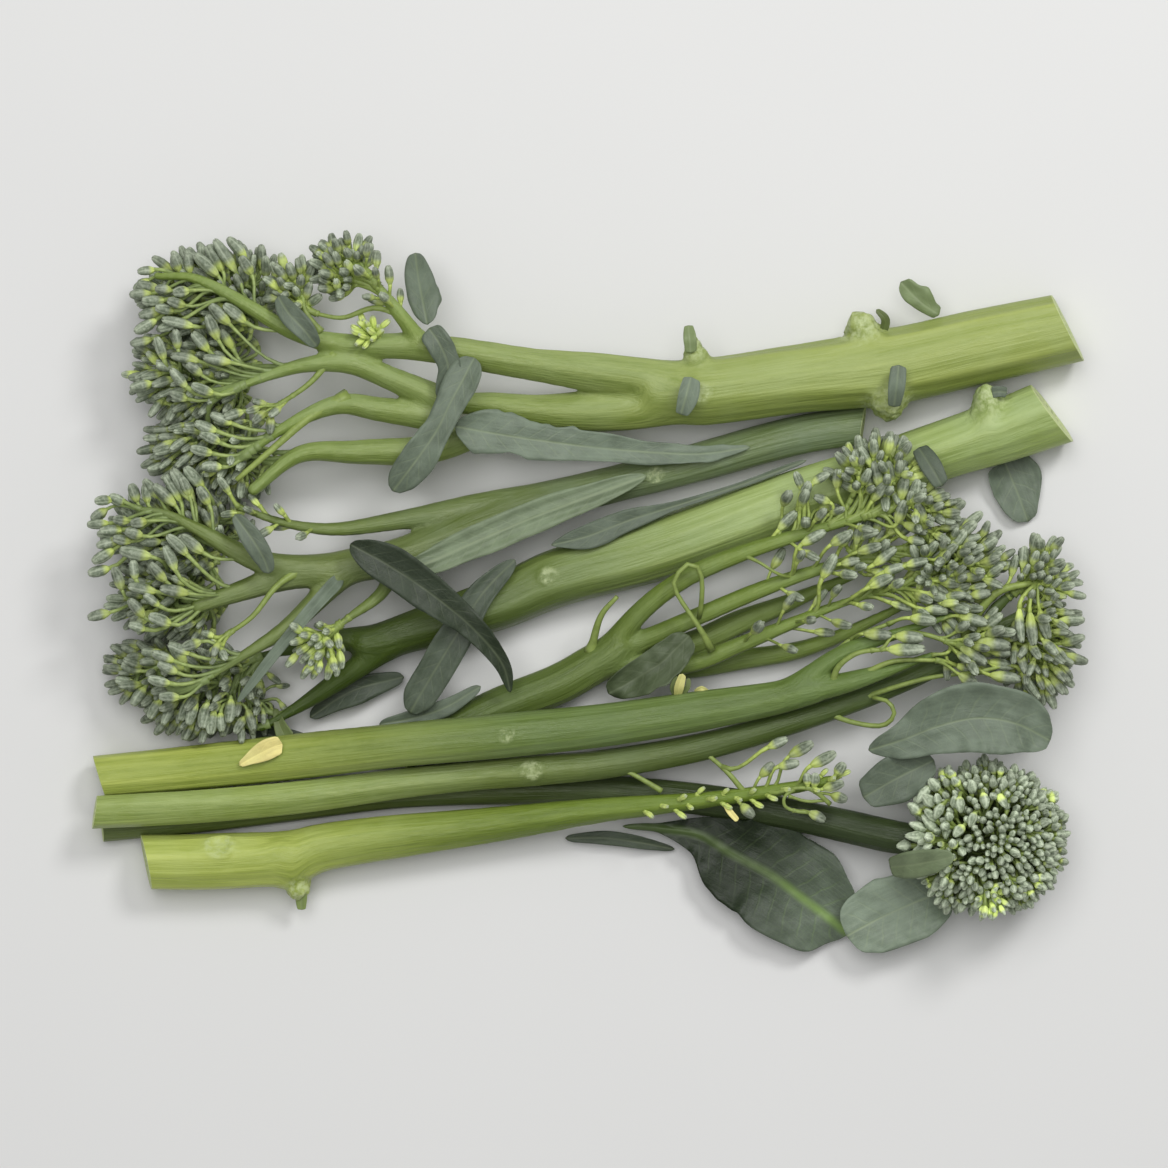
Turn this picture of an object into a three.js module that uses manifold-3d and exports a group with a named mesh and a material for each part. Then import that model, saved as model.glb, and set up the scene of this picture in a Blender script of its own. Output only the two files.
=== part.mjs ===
// A bunch of eight baby broccoli stalks lying on a flat surface, four with their heads to -X and
// four with their heads to +X. Millimetres, +Z up, origin under the middle of the bunch.
import * as THREE from "three";
import { mergeVertices } from "three/addons/utils/BufferGeometryUtils.js";
import Module from "manifold-3d";

const wasm = await Module();
wasm.setup();

// Driving dimensions, in millimetres
const GAP = 0.35; // room kept between two pieces that touch
const BLADE_THICKNESS = 0.7;
const BLADE_CLEARANCE = 0.2; // room kept by buds around a leaf, beyond its thickness
const RIPPLE_TURN = 1.9; // a leaf's edges rise and fall by this angle from row to row
const RIPPLE_SHIFT = 1.2; // and its right edge runs ahead of its left one by this
const STEM_ROUGHNESS = 0.45;
const STEM_SIDES = 8;
const LIMB_SIDES = 5;
const STEM_STEP = 13; // length of one ring of a stem
const LIMB_STEP = 8;
const LONG_BUD = { length: 6.8, width: 4 };
const ROUND_BUD = { length: 4.4, width: 4.5 };
const LOOSE_BUD = { length: 6, width: 2.9 };
const PEDICEL_WIDTH = 0.9;
const BUD_SIDES = 4;
const BUD_ROOT = 1.6; // a bud without a pedicel starts this deep in its head
const BUD_SPREAD = { least: 0.85, range: 0.3 }; // size of a bud, as a share of its kind's
const LEAN = { least: 0.9, range: 0.5, tip: 4 }; // of a spray's buds towards its limb's tip
const TIP_SHARE = 0.97; // from here on a bud ends its limb
const ROOT_DEPTH = 0.93; // where buds are rooted in a mound, as a share of its radius
const WELL_INSIDE = 0.8; // squared distance from a mound's middle, 1 at its skin
const CROWDING = 0.8; // how near two buds of one node may come, 1 where they touch
const CLAIM_STEP = 1.2; // distance between the balls that keep a tube's room
const SCAR_HEIGHT = 0.7; // of a leaf scar, as a share of its radius
const UNDERFLOOR = { width: 400, depth: 20 };
const STEEPEST_DOWN = -0.3; // buds under a head lie flatter than this, along the surface
const SUNK = 0.5; // the lowest buds reach this far below the surface, and are cut flat there
const GOLDEN_ANGLE = Math.PI * (3 - Math.sqrt(5));

const UP = new THREE.Vector3(0, 0, 1);
const point = (p) => new THREE.Vector3(p[0], p[1], p[2]);

// A number from 0 to 1 that is always the same for the same seed and turn.
function draw(seed, turn) {
  const s = Math.sin(seed * 78.233 + turn * 12.9898) * 43758.5453;
  return s - Math.floor(s);
}

// Space already filled, so that buds keep clear of what belongs to another node.
const balls = [];
const mounds = [];

function claimBall(owner, centre, radius) {
  balls.push({ owner, centre: centre.clone(), radius });
}

function isFree(owner, centre, radius) {
  if (centre.z < radius - SUNK) return false;
  for (const ball of balls) {
    const reach = ball.radius + radius + GAP;
    if (ball.owner !== owner && ball.centre.distanceToSquared(centre) < reach * reach) return false;
  }
  for (const mound of mounds) {
    if (mound.owner === owner) continue;
    const away = centre.clone().sub(mound.centre);
    const grown = mound.radii.clone().addScalar(radius + GAP);
    if (away.divide(grown).lengthSq() < 1) return false;
  }
  return true;
}

// Solids: a closed geometry becomes a manifold, and a manifold becomes a geometry again.
function solid(geometry) {
  const bare = geometry.index ? geometry.clone() : geometry;
  bare.deleteAttribute("normal");
  bare.deleteAttribute("uv");
  const merged = mergeVertices(bare, 1e-4);
  const index = merged.index.array;
  const triVerts = [];
  for (let i = 0; i < index.length; i += 3) {
    const [a, b, c] = [index[i], index[i + 1], index[i + 2]];
    if (a !== b && b !== c && c !== a) triVerts.push(a, b, c);
  }
  return new wasm.Manifold(
    new wasm.Mesh({
      numProp: 3,
      vertProperties: merged.attributes.position.array,
      triVerts: new Uint32Array(triVerts),
    }),
  );
}

function geometryOf(manifold) {
  const mesh = manifold.getMesh();
  const geometry = new THREE.BufferGeometry();
  geometry.setAttribute("position", new THREE.BufferAttribute(mesh.vertProperties, mesh.numProp));
  geometry.setIndex(new THREE.BufferAttribute(mesh.triVerts, 1));
  geometry.computeVertexNormals();
  return geometry;
}

function join(solids) {
  return solids.reduce((whole, piece) => whole.add(piece));
}

// The largest body, without the scraps that a cut can leave.
function largest(manifold) {
  const bodies = manifold.decompose();
  return bodies.reduce((best, body) => (body.volume() > best.volume() ? body : best));
}

// A tapered tube along a route of [x, y, z, radius] points, with its first end cut on a slant.
function tube(route, { sides = LIMB_SIDES, step = LIMB_STEP, slant = 0, grow = 0 } = {}) {
  const curve = new THREE.CatmullRomCurve3(route.map(point), false, "centripetal");
  const steps = Math.max(2, Math.round(curve.getLength() / step));
  const frames = curve.computeFrenetFrames(steps, false);
  const geometry = new THREE.CylinderGeometry(1, 1, 1, sides, steps, false);
  const position = geometry.attributes.position;
  const across = new THREE.Vector3();
  for (let i = 0; i < position.count; i++) {
    const along = position.getY(i) + 0.5;
    const ring = Math.round(along * steps);
    const radius = radiusAt(route, curve.getUtoTmapping(along)) + grow;
    across
      .set(0, 0, 0)
      .addScaledVector(frames.normals[ring], position.getX(i) * radius)
      .addScaledVector(frames.binormals[ring], -position.getZ(i) * radius);
    const place = curve.getPointAt(along).add(across);
    const sideways = across.dot(frames.tangents[ring].clone().cross(UP));
    if (ring === 0) place.addScaledVector(frames.tangents[ring], slant * sideways - grow);
    if (ring === steps) place.addScaledVector(frames.tangents[ring], grow);
    position.setXYZ(i, place.x, place.y, place.z);
  }
  return solid(geometry);
}

function radiusAt(route, t) {
  const place = t * (route.length - 1);
  const low = Math.min(Math.floor(place), route.length - 2);
  return THREE.MathUtils.lerp(route[low][3], route[low + 1][3], place - low);
}

function claimTube(owner, route) {
  const curve = new THREE.CatmullRomCurve3(route.map(point), false, "centripetal");
  const count = Math.ceil(curve.getLength() / CLAIM_STEP);
  for (let i = 0; i <= count; i++) {
    const t = curve.getUtoTmapping(i / count);
    claimBall(owner, curve.getPoint(t), radiusAt(route, t));
  }
}

// A bud on its own pedicel: the profile runs from the root up to the pointed tip.
function bud({ root, axis, stalk = 0, length, width, sides = BUD_SIDES, turn = 0 }) {
  const half = width / 2;
  const neck = PEDICEL_WIDTH / 2;
  const onPedicel = [[0, 0], [neck, 0], [neck, stalk], [half, stalk + length * 0.5]];
  const onMound = [[0, -BUD_ROOT], [half * 0.9, length * 0.32], [half, length * 0.7]];
  const outline = [...(stalk > 0 ? onPedicel : onMound), [0, stalk + length]];
  const profile = outline.map(([r, y]) => new THREE.Vector2(r, y));
  const geometry = new THREE.LatheGeometry(profile, sides, turn);
  const tilt = new THREE.Quaternion().setFromUnitVectors(new THREE.Vector3(0, 1, 0), axis);
  geometry.applyQuaternion(tilt);
  geometry.translate(root.x, root.y, root.z);
  return solid(geometry);
}

// A row of balls stands for a bud and its pedicel where their room is tested.
function budBalls({ root, axis, stalk = 0, length, width }) {
  const ball = (reach, radius) => ({ centre: root.clone().addScaledVector(axis, reach), radius });
  const pedicel = stalk > 0 ? [0.6, 0.85].map((share) => ball(stalk * share, PEDICEL_WIDTH / 2)) : [];
  const body = [
    [0.05, 0.34],
    [0.35, 0.52],
    [0.65, 0.52],
    [0.92, 0.34],
  ].map(([share, stout]) => ball(stalk + length * share, width * stout));
  return [...pedicel, ...body];
}

// Buds of one node may touch, but hardly cross.
const crowd = [];

function placeBud(owner, shape) {
  const room = budBalls(shape);
  const clear = room.every((ball) => isFree(owner, ball.centre, ball.radius));
  const crossed = crowd.some((ball) =>
    room.some(({ centre, radius }) => {
      const touching = ball.radius + radius;
      return ball.centre.distanceTo(centre) < CROWDING * touching;
    }),
  );
  if (!clear || crossed) return null;
  crowd.push(...room);
  room.forEach((ball) => claimBall(owner, ball.centre, ball.radius));
  return bud(shape);
}

// Buds on pedicels along a limb, turned on by the golden angle and leaning towards its tip.
function spray(owner, route, { count, from = 0.25, reach = 5, size = LOOSE_BUD, seed }) {
  const curve = new THREE.CatmullRomCurve3(route.map(point), false, "centripetal");
  const buds = [];
  for (let i = 0; i < count; i++) {
    const along = from + ((1 - from) * (i + 1)) / count;
    const root = curve.getPointAt(along);
    const tangent = curve.getTangentAt(along);
    const side = tangent.clone().cross(UP).normalize();
    const over = side.clone().cross(tangent);
    const angle = GOLDEN_ANGLE * i + seed;
    const outward = side.multiplyScalar(Math.cos(angle)).addScaledVector(over, Math.sin(angle));
    const lean = along > TIP_SHARE ? LEAN.tip : LEAN.least + LEAN.range * draw(seed, i);
    const axis = outward.addScaledVector(tangent, lean).normalize();
    const scale = BUD_SPREAD.least + BUD_SPREAD.range * draw(seed, i + 0.5);
    const shape = {
      root,
      axis,
      stalk: reach * (0.6 + 0.6 * draw(seed, i + 0.25)),
      length: size.length * scale,
      width: size.width * scale,
      turn: angle,
    };
    const made = placeBud(owner, shape);
    if (made) buds.push(made);
  }
  return buds;
}

// A head: low mounds joined in one body, with buds rooted all over them.
function head(owner, { lumps, count, size, flow, lean, cuts, seed }) {
  const cores = lumps.map(([x, y, z, rx, ry, rz]) => {
    const geometry = new THREE.IcosahedronGeometry(1, 1);
    geometry.scale(rx, ry, rz);
    geometry.translate(x, y, z);
    return solid(geometry);
  });
  const core = largest(cuts.reduce((body, cutter) => body.subtract(cutter), join(cores)));
  const buds = [];
  lumps.forEach(([x, y, z, rx, ry, rz], lump) => {
    const centre = new THREE.Vector3(x, y, z);
    const radii = new THREE.Vector3(rx, ry, rz);
    for (let i = 0; i < count[lump]; i++) {
      const height = 1 - (2 * (i + 0.5)) / count[lump];
      const angle = GOLDEN_ANGLE * i + lump;
      const flat = Math.sqrt(1 - height * height);
      const out = new THREE.Vector3(flat * Math.cos(angle), flat * Math.sin(angle), height);
      const root = out.clone().multiply(radii).multiplyScalar(ROOT_DEPTH).add(centre);
      if (lumps.some((other, j) => j !== lump && inside(other, root))) continue;
      const normal = out.divide(radii).normalize();
      const jitter = new THREE.Vector3(
        draw(seed, i * 3) - 0.5,
        draw(seed, i * 3 + 1) - 0.5,
        draw(seed, i * 3 + 2) - 0.5,
      );
      const axis = normal.addScaledVector(flow, lean).addScaledVector(jitter, 0.5).normalize();
      axis.setZ(Math.max(axis.z, STEEPEST_DOWN)).normalize();
      const scale = BUD_SPREAD.least + BUD_SPREAD.range * draw(seed + lump, i);
      const shape = {
        root,
        axis,
        length: size.length * scale,
        width: size.width * scale,
        turn: angle,
      };
      const made = placeBud(owner, shape);
      if (made) buds.push(made);
    }
  });
  return largest(join([core, ...buds]));
}

function inside([x, y, z, rx, ry, rz], place) {
  const away = new THREE.Vector3((place.x - x) / rx, (place.y - y) / ry, (place.z - z) / rz);
  return away.lengthSq() < WELL_INSIDE;
}

// A leaf along a spine of [x, y, z, half width] points. Both faces share one triangle pattern.
function blade(owner, spine, form = {}) {
  const { along = spine.length > 3 ? 5 : 3, across = 2, cup = 0.25, wave = 0, teeth = 0 } = form;
  const curve = new THREE.CatmullRomCurve3(spine.map(point), false, "centripetal");
  const positions = [];
  for (let i = 0; i <= along; i++) {
    const t = curve.getUtoTmapping(i / along);
    const centre = curve.getPoint(t);
    const tangent = curve.getTangent(t);
    const side = tangent.clone().cross(UP).normalize();
    const lift = side.clone().cross(tangent);
    const tooth = 1 + teeth * (i % 2 === 0 ? -1 : 1);
    const half = radiusAt(spine, t) * (i === 0 || i === along ? 1 : tooth);
    for (let j = 0; j <= across; j++) {
      const v = (2 * j) / across - 1;
      const swing = i * RIPPLE_TURN + (v > 0 ? RIPPLE_SHIFT : 0);
      const ripple = wave * Math.abs(v) * Math.sin(swing);
      const place = centre.clone().addScaledVector(side, half * v);
      place.addScaledVector(lift, cup * half * Math.abs(v) + ripple);
      claimBall(owner, place, BLADE_THICKNESS / 2 + BLADE_CLEARANCE);
      for (const face of [0.5, -0.5]) {
        const skin = place.clone().addScaledVector(lift, face * BLADE_THICKNESS);
        positions.push(skin.x, skin.y, skin.z);
      }
    }
  }
  const at = (i, j, face) => 2 * (i * (across + 1) + j) + face;
  const index = [];
  for (let i = 0; i < along; i++) {
    for (let j = 0; j < across; j++) {
      const [a, b, c, d] = [[i, j], [i, j + 1], [i + 1, j + 1], [i + 1, j]];
      index.push(at(...a, 0), at(...b, 0), at(...c, 0), at(...a, 0), at(...c, 0), at(...d, 0));
      index.push(at(...a, 1), at(...c, 1), at(...b, 1), at(...a, 1), at(...d, 1), at(...c, 1));
    }
  }
  const rim = [];
  for (let j = 0; j < across; j++) rim.push([0, j]);
  for (let i = 0; i < along; i++) rim.push([i, across]);
  for (let j = across; j > 0; j--) rim.push([along, j]);
  for (let i = along; i > 0; i--) rim.push([i, 0]);
  rim.forEach((p, k) => {
    const q = rim[(k + 1) % rim.length];
    index.push(at(...p, 1), at(...q, 1), at(...q, 0), at(...p, 1), at(...q, 0), at(...p, 0));
  });
  const geometry = new THREE.BufferGeometry();
  geometry.setAttribute("position", new THREE.Float32BufferAttribute(positions, 3));
  geometry.setIndex(index);
  return solid(geometry);
}

// A leaf scar: a low raised pad on a stem's flank.
function scar([x, y, z], radius) {
  const geometry = new THREE.IcosahedronGeometry(radius, 0);
  geometry.scale(1, 1, SCAR_HEIGHT);
  geometry.translate(x, y, z);
  return solid(geometry);
}

const bunch = new THREE.Group();
bunch.name = "bunch";

function addNode(name, body, colour, roughness) {
  const material = new THREE.MeshStandardMaterial({ color: colour, roughness, metalness: 0 });
  const mesh = new THREE.Mesh(geometryOf(body), material);
  mesh.name = name;
  bunch.add(mesh);
}

// Whatever reaches below the surface is cut flat there, which gives the flat spots it rests on.
const below = new THREE.BoxGeometry(UNDERFLOOR.width, UNDERFLOOR.width, UNDERFLOOR.depth);
below.translate(0, 0, -UNDERFLOOR.depth / 2);
const underfloor = solid(below);

// Each stalk: its stem from the cut end to the fork, its limbs, its scars and its loose sprays.
const stalks = [
  {
    name: "stalk_1",
    colour: 0xa1b370,
    slant: 0.25,
    stem: [
      [93, 52.2, 6.8, 6.9],
      [74.9, 48.3, 6.9, 7.2],
      [57.8, 44.5, 7.3, 7.3],
      [40.7, 42.2, 9, 6.4],
      [21.7, 39.5, 10.4, 6.4],
      [14, 39.3, 10.8, 4.6],
    ],
    limbs: {
      upper: [
        [21, 41, 10.8, 4],
        [2.7, 43.3, 12.6, 3.1],
        [-16.3, 45.2, 14.4, 2.8],
        [-30.6, 47.7, 16, 2.8],
        [-46.7, 48.5, 17, 2.5],
        [-55.1, 50.5, 19.5, 2.3],
        [-63.8, 55.5, 20.5, 2.2],
        [-69.4, 58.7, 20, 2],
        [-74.5, 60.8, 19, 1.7],
        [-81, 61.2, 17, 1.3],
      ],
      lower: [
        [21, 38.2, 10, 4.2],
        [6.5, 36.1, 10, 3.4],
        [-8.7, 35.9, 10.6, 3.3],
        [-18.2, 37.1, 11.4, 3.4],
        [-27.7, 37.4, 12.5, 3.4],
        [-32, 37.4, 13.2, 2.6],
      ],
      middle: [
        [-27.5, 38, 13, 2.6],
        [-37.2, 42, 15.2, 2.2],
        [-44.5, 44.6, 16.5, 2],
        [-52.6, 44.4, 18, 1.8],
        [-59.3, 42.5, 19, 1.6],
        [-69.4, 38.4, 20, 1.2],
      ],
      low: [
        [-28.5, 34.5, 12.6, 2.6],
        [-39.1, 36.1, 14, 2.3],
        [-46.6, 37, 16, 2],
        [-56.6, 32.7, 18, 1.7],
        [-64.4, 27.2, 18, 1.2],
      ],
      under: [
        [-14, 35, 10, 2.6],
        [-28.7, 28.9, 9.5, 2.6],
        [-42.9, 28.1, 11, 2.2],
        [-54.3, 26.6, 13.5, 1.8],
        [-62.9, 20.9, 15.5, 1.2],
      ],
      shoot: [
        [-31, 48.5, 17, 1.6],
        [-34.5, 53, 19, 1.4],
        [-39, 58.7, 20, 1.2],
        [-42.4, 63.3, 20.5, 0.9],
      ],
    },
    scars: [
      [[58.5, 44.4, 13.6], 2.6],
      [[53, 51, 8], 2.6],
      [[58.1, 38.6, 9], 2.6],
      [[21.5, 39.2, 15.6], 2.4],
    ],
    sprays: {
      upper: [14, 0.6],
      middle: [8, 0.5],
      low: [7, 0.5],
      under: [6, 0.55],
      shoot: [9, 0.3, 2.6],
    },
  },
  {
    name: "stalk_2",
    colour: 0x8c9d70,
    slant: -0.3,
    stem: [
      [53.6, 33.5, 3.8, 3.7],
      [40.7, 31.5, 4.2, 3.8],
      [21.7, 26.4, 4.8, 3.7],
      [13.1, 24.1, 5.2, 3.6],
      [-6.3, 19, 6.2, 3.5],
      [-20.1, 14.4, 7.5, 3.5],
      [-35.3, 8.4, 9.5, 3.4],
      [-46.7, 6.1, 11.5, 3.1],
      [-56.6, 4.4, 14, 2.6],
      [-65.7, 1.5, 16, 2],
      [-73.3, -1.1, 17, 1.4],
    ],
    limbs: {
      upper: [
        [-50, 5.6, 12.5, 2.4],
        [-62.3, 7.5, 17, 2.1],
        [-73, 13.2, 19.2, 1.7],
        [-79.5, 16.4, 19, 1.3],
        [-84.5, 17.2, 18, 1],
      ],
      lower: [
        [-44, 6.4, 11.2, 2.2],
        [-49, 1.9, 13, 2.1],
        [-56.6, -5.3, 15.5, 1.8],
        [-64.4, -10.3, 17, 1.5],
        [-71.4, -14.8, 17, 1.1],
      ],
      shoot: [
        [-36, 7.4, 10, 1.8],
        [-38.8, 1.3, 14, 1.2],
        [-45, -3.5, 17, 1],
        [-50.2, -7.5, 18, 0.8],
      ],
      grey: [
        [2.7, 21.5, 5.6, 2.2],
        [-18, 18.6, 7, 2.2],
        [-35.3, 15.2, 9, 2],
        [-48.6, 13.4, 11.5, 1.8],
        [-58, 14.8, 14, 1.5],
        [-65.7, 17.5, 16, 1.2],
      ],
    },
    scars: [[[13.1, 23.8, 8.2], 1.7]],
    sprays: { stem: [7, 0.86], upper: [10, 0.4], lower: [9, 0.4], shoot: [6, 0.5], grey: [6, 0.7] },
  },
  {
    name: "stalk_3",
    colour: 0x93a569,
    slant: 0.3,
    stem: [
      [90, 36, 5.9, 6.5],
      [78.7, 31.9, 5.7, 6],
      [69.2, 28.9, 5.5, 5.7],
      [52.1, 22.8, 5.6, 5.8],
      [40.7, 19.2, 5.7, 5.9],
      [13.1, 9.5, 5.6, 5.8],
      [-6.3, 4, 5.4, 5.6],
      [-16.3, -0.4, 5.5, 5.1],
      [-27.7, -4.2, 6, 4.3],
      [-37.2, -7.2, 7, 3.5],
      [-42, -8.6, 7.4, 2.7],
    ],
    limbs: {
      upper: [
        [-38, -7.4, 7, 2.4],
        [-46.8, -7.6, 7, 2.1],
        [-54.3, -9, 6.8, 1.8],
        [-63, -11, 6.5, 1.4],
      ],
      lower: [
        [-38, -9, 7, 2.4],
        [-46, -14.5, 7, 2],
        [-55, -20.5, 7, 1.7],
        [-62, -24.5, 7.5, 1.3],
      ],
    },
    scars: [
      [[-7.2, 4.5, 9.8], 2],
      [[69, 29.2, 10.1], 1.8],
      [[76.6, 37.1, 8], 1.6],
    ],
    sprays: { upper: [5, 0.5], lower: [6, 0.5] },
  },
  {
    name: "stalk_4",
    colour: 0x76885a,
    slant: 0,
    stem: [
      [-36.3, -29.3, 3.8, 3.8],
      [-25.8, -24.9, 3.9, 3.8],
      [-16.3, -20.5, 4.1, 3.9],
      [-4.9, -16, 4.7, 3.9],
      [1.7, -12.2, 5.3, 3.8],
      [6, -9.5, 6, 3],
    ],
    limbs: {
      upper: [
        [4, -10.5, 6, 2.4],
        [7.5, -5.4, 8, 2],
        [13.2, 0.2, 10.4, 1.9],
        [19.8, 4.6, 11.8, 1.8],
        [29.3, 8.7, 13.2, 1.7],
        [40.7, 12.4, 14.6, 1.6],
        [52.1, 15.6, 15.8, 1.4],
        [62.5, 18.4, 16.5, 1.1],
      ],
      middle: [
        [5, -10, 6.2, 2.2],
        [10.3, -8, 7, 1.9],
        [21.7, -3, 9.5, 1.7],
        [35, 2.6, 11.5, 1.6],
        [46.4, 6.4, 12.8, 1.4],
        [57.8, 9.3, 13.6, 1.2],
        [67.3, 10.5, 14, 1],
      ],
      lower: [
        [4, -11.5, 6, 2.2],
        [9, -12.8, 6.4, 2],
        [19.8, -12.2, 8.4, 1.8],
        [29.3, -8.6, 10, 1.6],
        [38.8, -4.6, 11.5, 1.5],
        [48.3, -0.8, 12.4, 1.3],
        [59.7, 2.6, 13, 1],
      ],
    },
    scars: [],
    sprays: { upper: [15, 0.45, 4], middle: [12, 0.5], lower: [10, 0.5] },
  },
  {
    name: "stalk_5",
    colour: 0x9aa557,
    slant: 0.2,
    stem: [
      [-93.8, -34, 4.7, 4.2],
      [-73.3, -31.9, 6.5, 4.3],
      [-54.3, -29.8, 9.2, 4.3],
      [-35.3, -27.6, 12.6, 4.2],
      [-16.3, -25.8, 13, 4.2],
      [2.7, -23.8, 13, 4.1],
      [21.7, -21, 13, 3.8],
      [35.9, -18.6, 13.2, 3.2],
      [42, -17.3, 13.5, 2.4],
    ],
    limbs: {
      upper: [
        [38, -17.8, 13.3, 2.2],
        [42.8, -13.9, 14.4, 1.8],
        [49.4, -9.7, 15.4, 1.6],
        [59.7, -6.1, 16, 1.4],
        [69.2, -2.9, 16, 1],
      ],
      lower: [
        [40, -17.6, 13.4, 2.4],
        [46.4, -16.4, 14.2, 2.1],
        [55.9, -13.7, 15, 1.7],
        [65.4, -10.5, 15.5, 1.2],
      ],
    },
    scars: [[[-15, -25.6, 16.6], 1.6]],
    sprays: { upper: [11, 0.4], lower: [10, 0.35] },
  },
  {
    name: "stalk_6",
    colour: 0x8d9e5f,
    slant: -0.2,
    stem: [
      [-94.2, -40.6, 8.6, 3.1],
      [-73.3, -39.4, 8.9, 3.2],
      [-54.3, -37.6, 9, 3.1],
      [-35.3, -35, 9, 2.9],
      [-22, -33.6, 8.8, 2.8],
      [-9.7, -32.5, 9, 2.9],
      [2.7, -31.4, 9.2, 2.8],
      [21.7, -28.1, 9.2, 2.7],
      [40.7, -22.8, 8.6, 2.4],
      [55.9, -17.5, 9, 2.1],
      [67.3, -12.4, 10, 1.9],
      [74.9, -7.6, 12, 1.5],
      [84.4, -1.9, 13, 1],
    ],
    limbs: {
      tip: [
        [74, -8.2, 11.7, 1.4],
        [78.7, -0.6, 13.5, 1.1],
        [85.5, 3.8, 14.5, 0.9],
      ],
    },
    scars: [[[-9.7, -32.6, 11.4], 1.5]],
    sprays: { stem: [7, 0.84], tip: [5, 0.4] },
  },
  {
    name: "stalk_7",
    colour: 0x90a268,
    slant: 0,
    stem: [
      [-93.3, -44, 2.4, 2.6],
      [-73.3, -42, 2.5, 2.7],
      [-54.3, -39.6, 2.6, 2.7],
      [-35.3, -37.4, 2.7, 2.7],
      [-16.3, -36.6, 2.8, 2.8],
      [2.7, -36.6, 3.1, 2.9],
      [21.7, -38.2, 4, 3],
      [36.9, -40.5, 5, 3.1],
      [50.2, -43.3, 7, 3.2],
      [58, -45, 8.8, 3.2],
      [65, -46, 10.5, 2.8],
    ],
    limbs: {},
    scars: [],
    sprays: {},
  },
  {
    name: "stalk_8",
    colour: 0xa3af60,
    slant: 0.2,
    stem: [
      [-85, -50.3, 5, 5.2],
      [-73.3, -50.3, 5.1, 5.2],
      [-63.8, -49.9, 5.2, 5.2],
      [-57, -49.5, 5.2, 5.2],
      [-51, -47.6, 5.4, 4.6],
      [-43, -46.2, 5.6, 4.4],
      [-35.3, -45.2, 5.8, 4.2],
      [-16.3, -42.8, 6.6, 3.3],
      [2.7, -40.1, 8.6, 2.3],
      [21.7, -38.2, 9.8, 1.6],
      [35, -36.4, 11, 1.3],
      [46.4, -34.4, 12, 1],
    ],
    limbs: {},
    scars: [[[-56, -48.8, 9.6], 2.1]],
    sprays: { stem: [13, 0.6] },
  },
];

for (const stalk of stalks) {
  claimTube(stalk.name, stalk.stem);
  Object.values(stalk.limbs).forEach((route) => claimTube(stalk.name, route));
}

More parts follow.
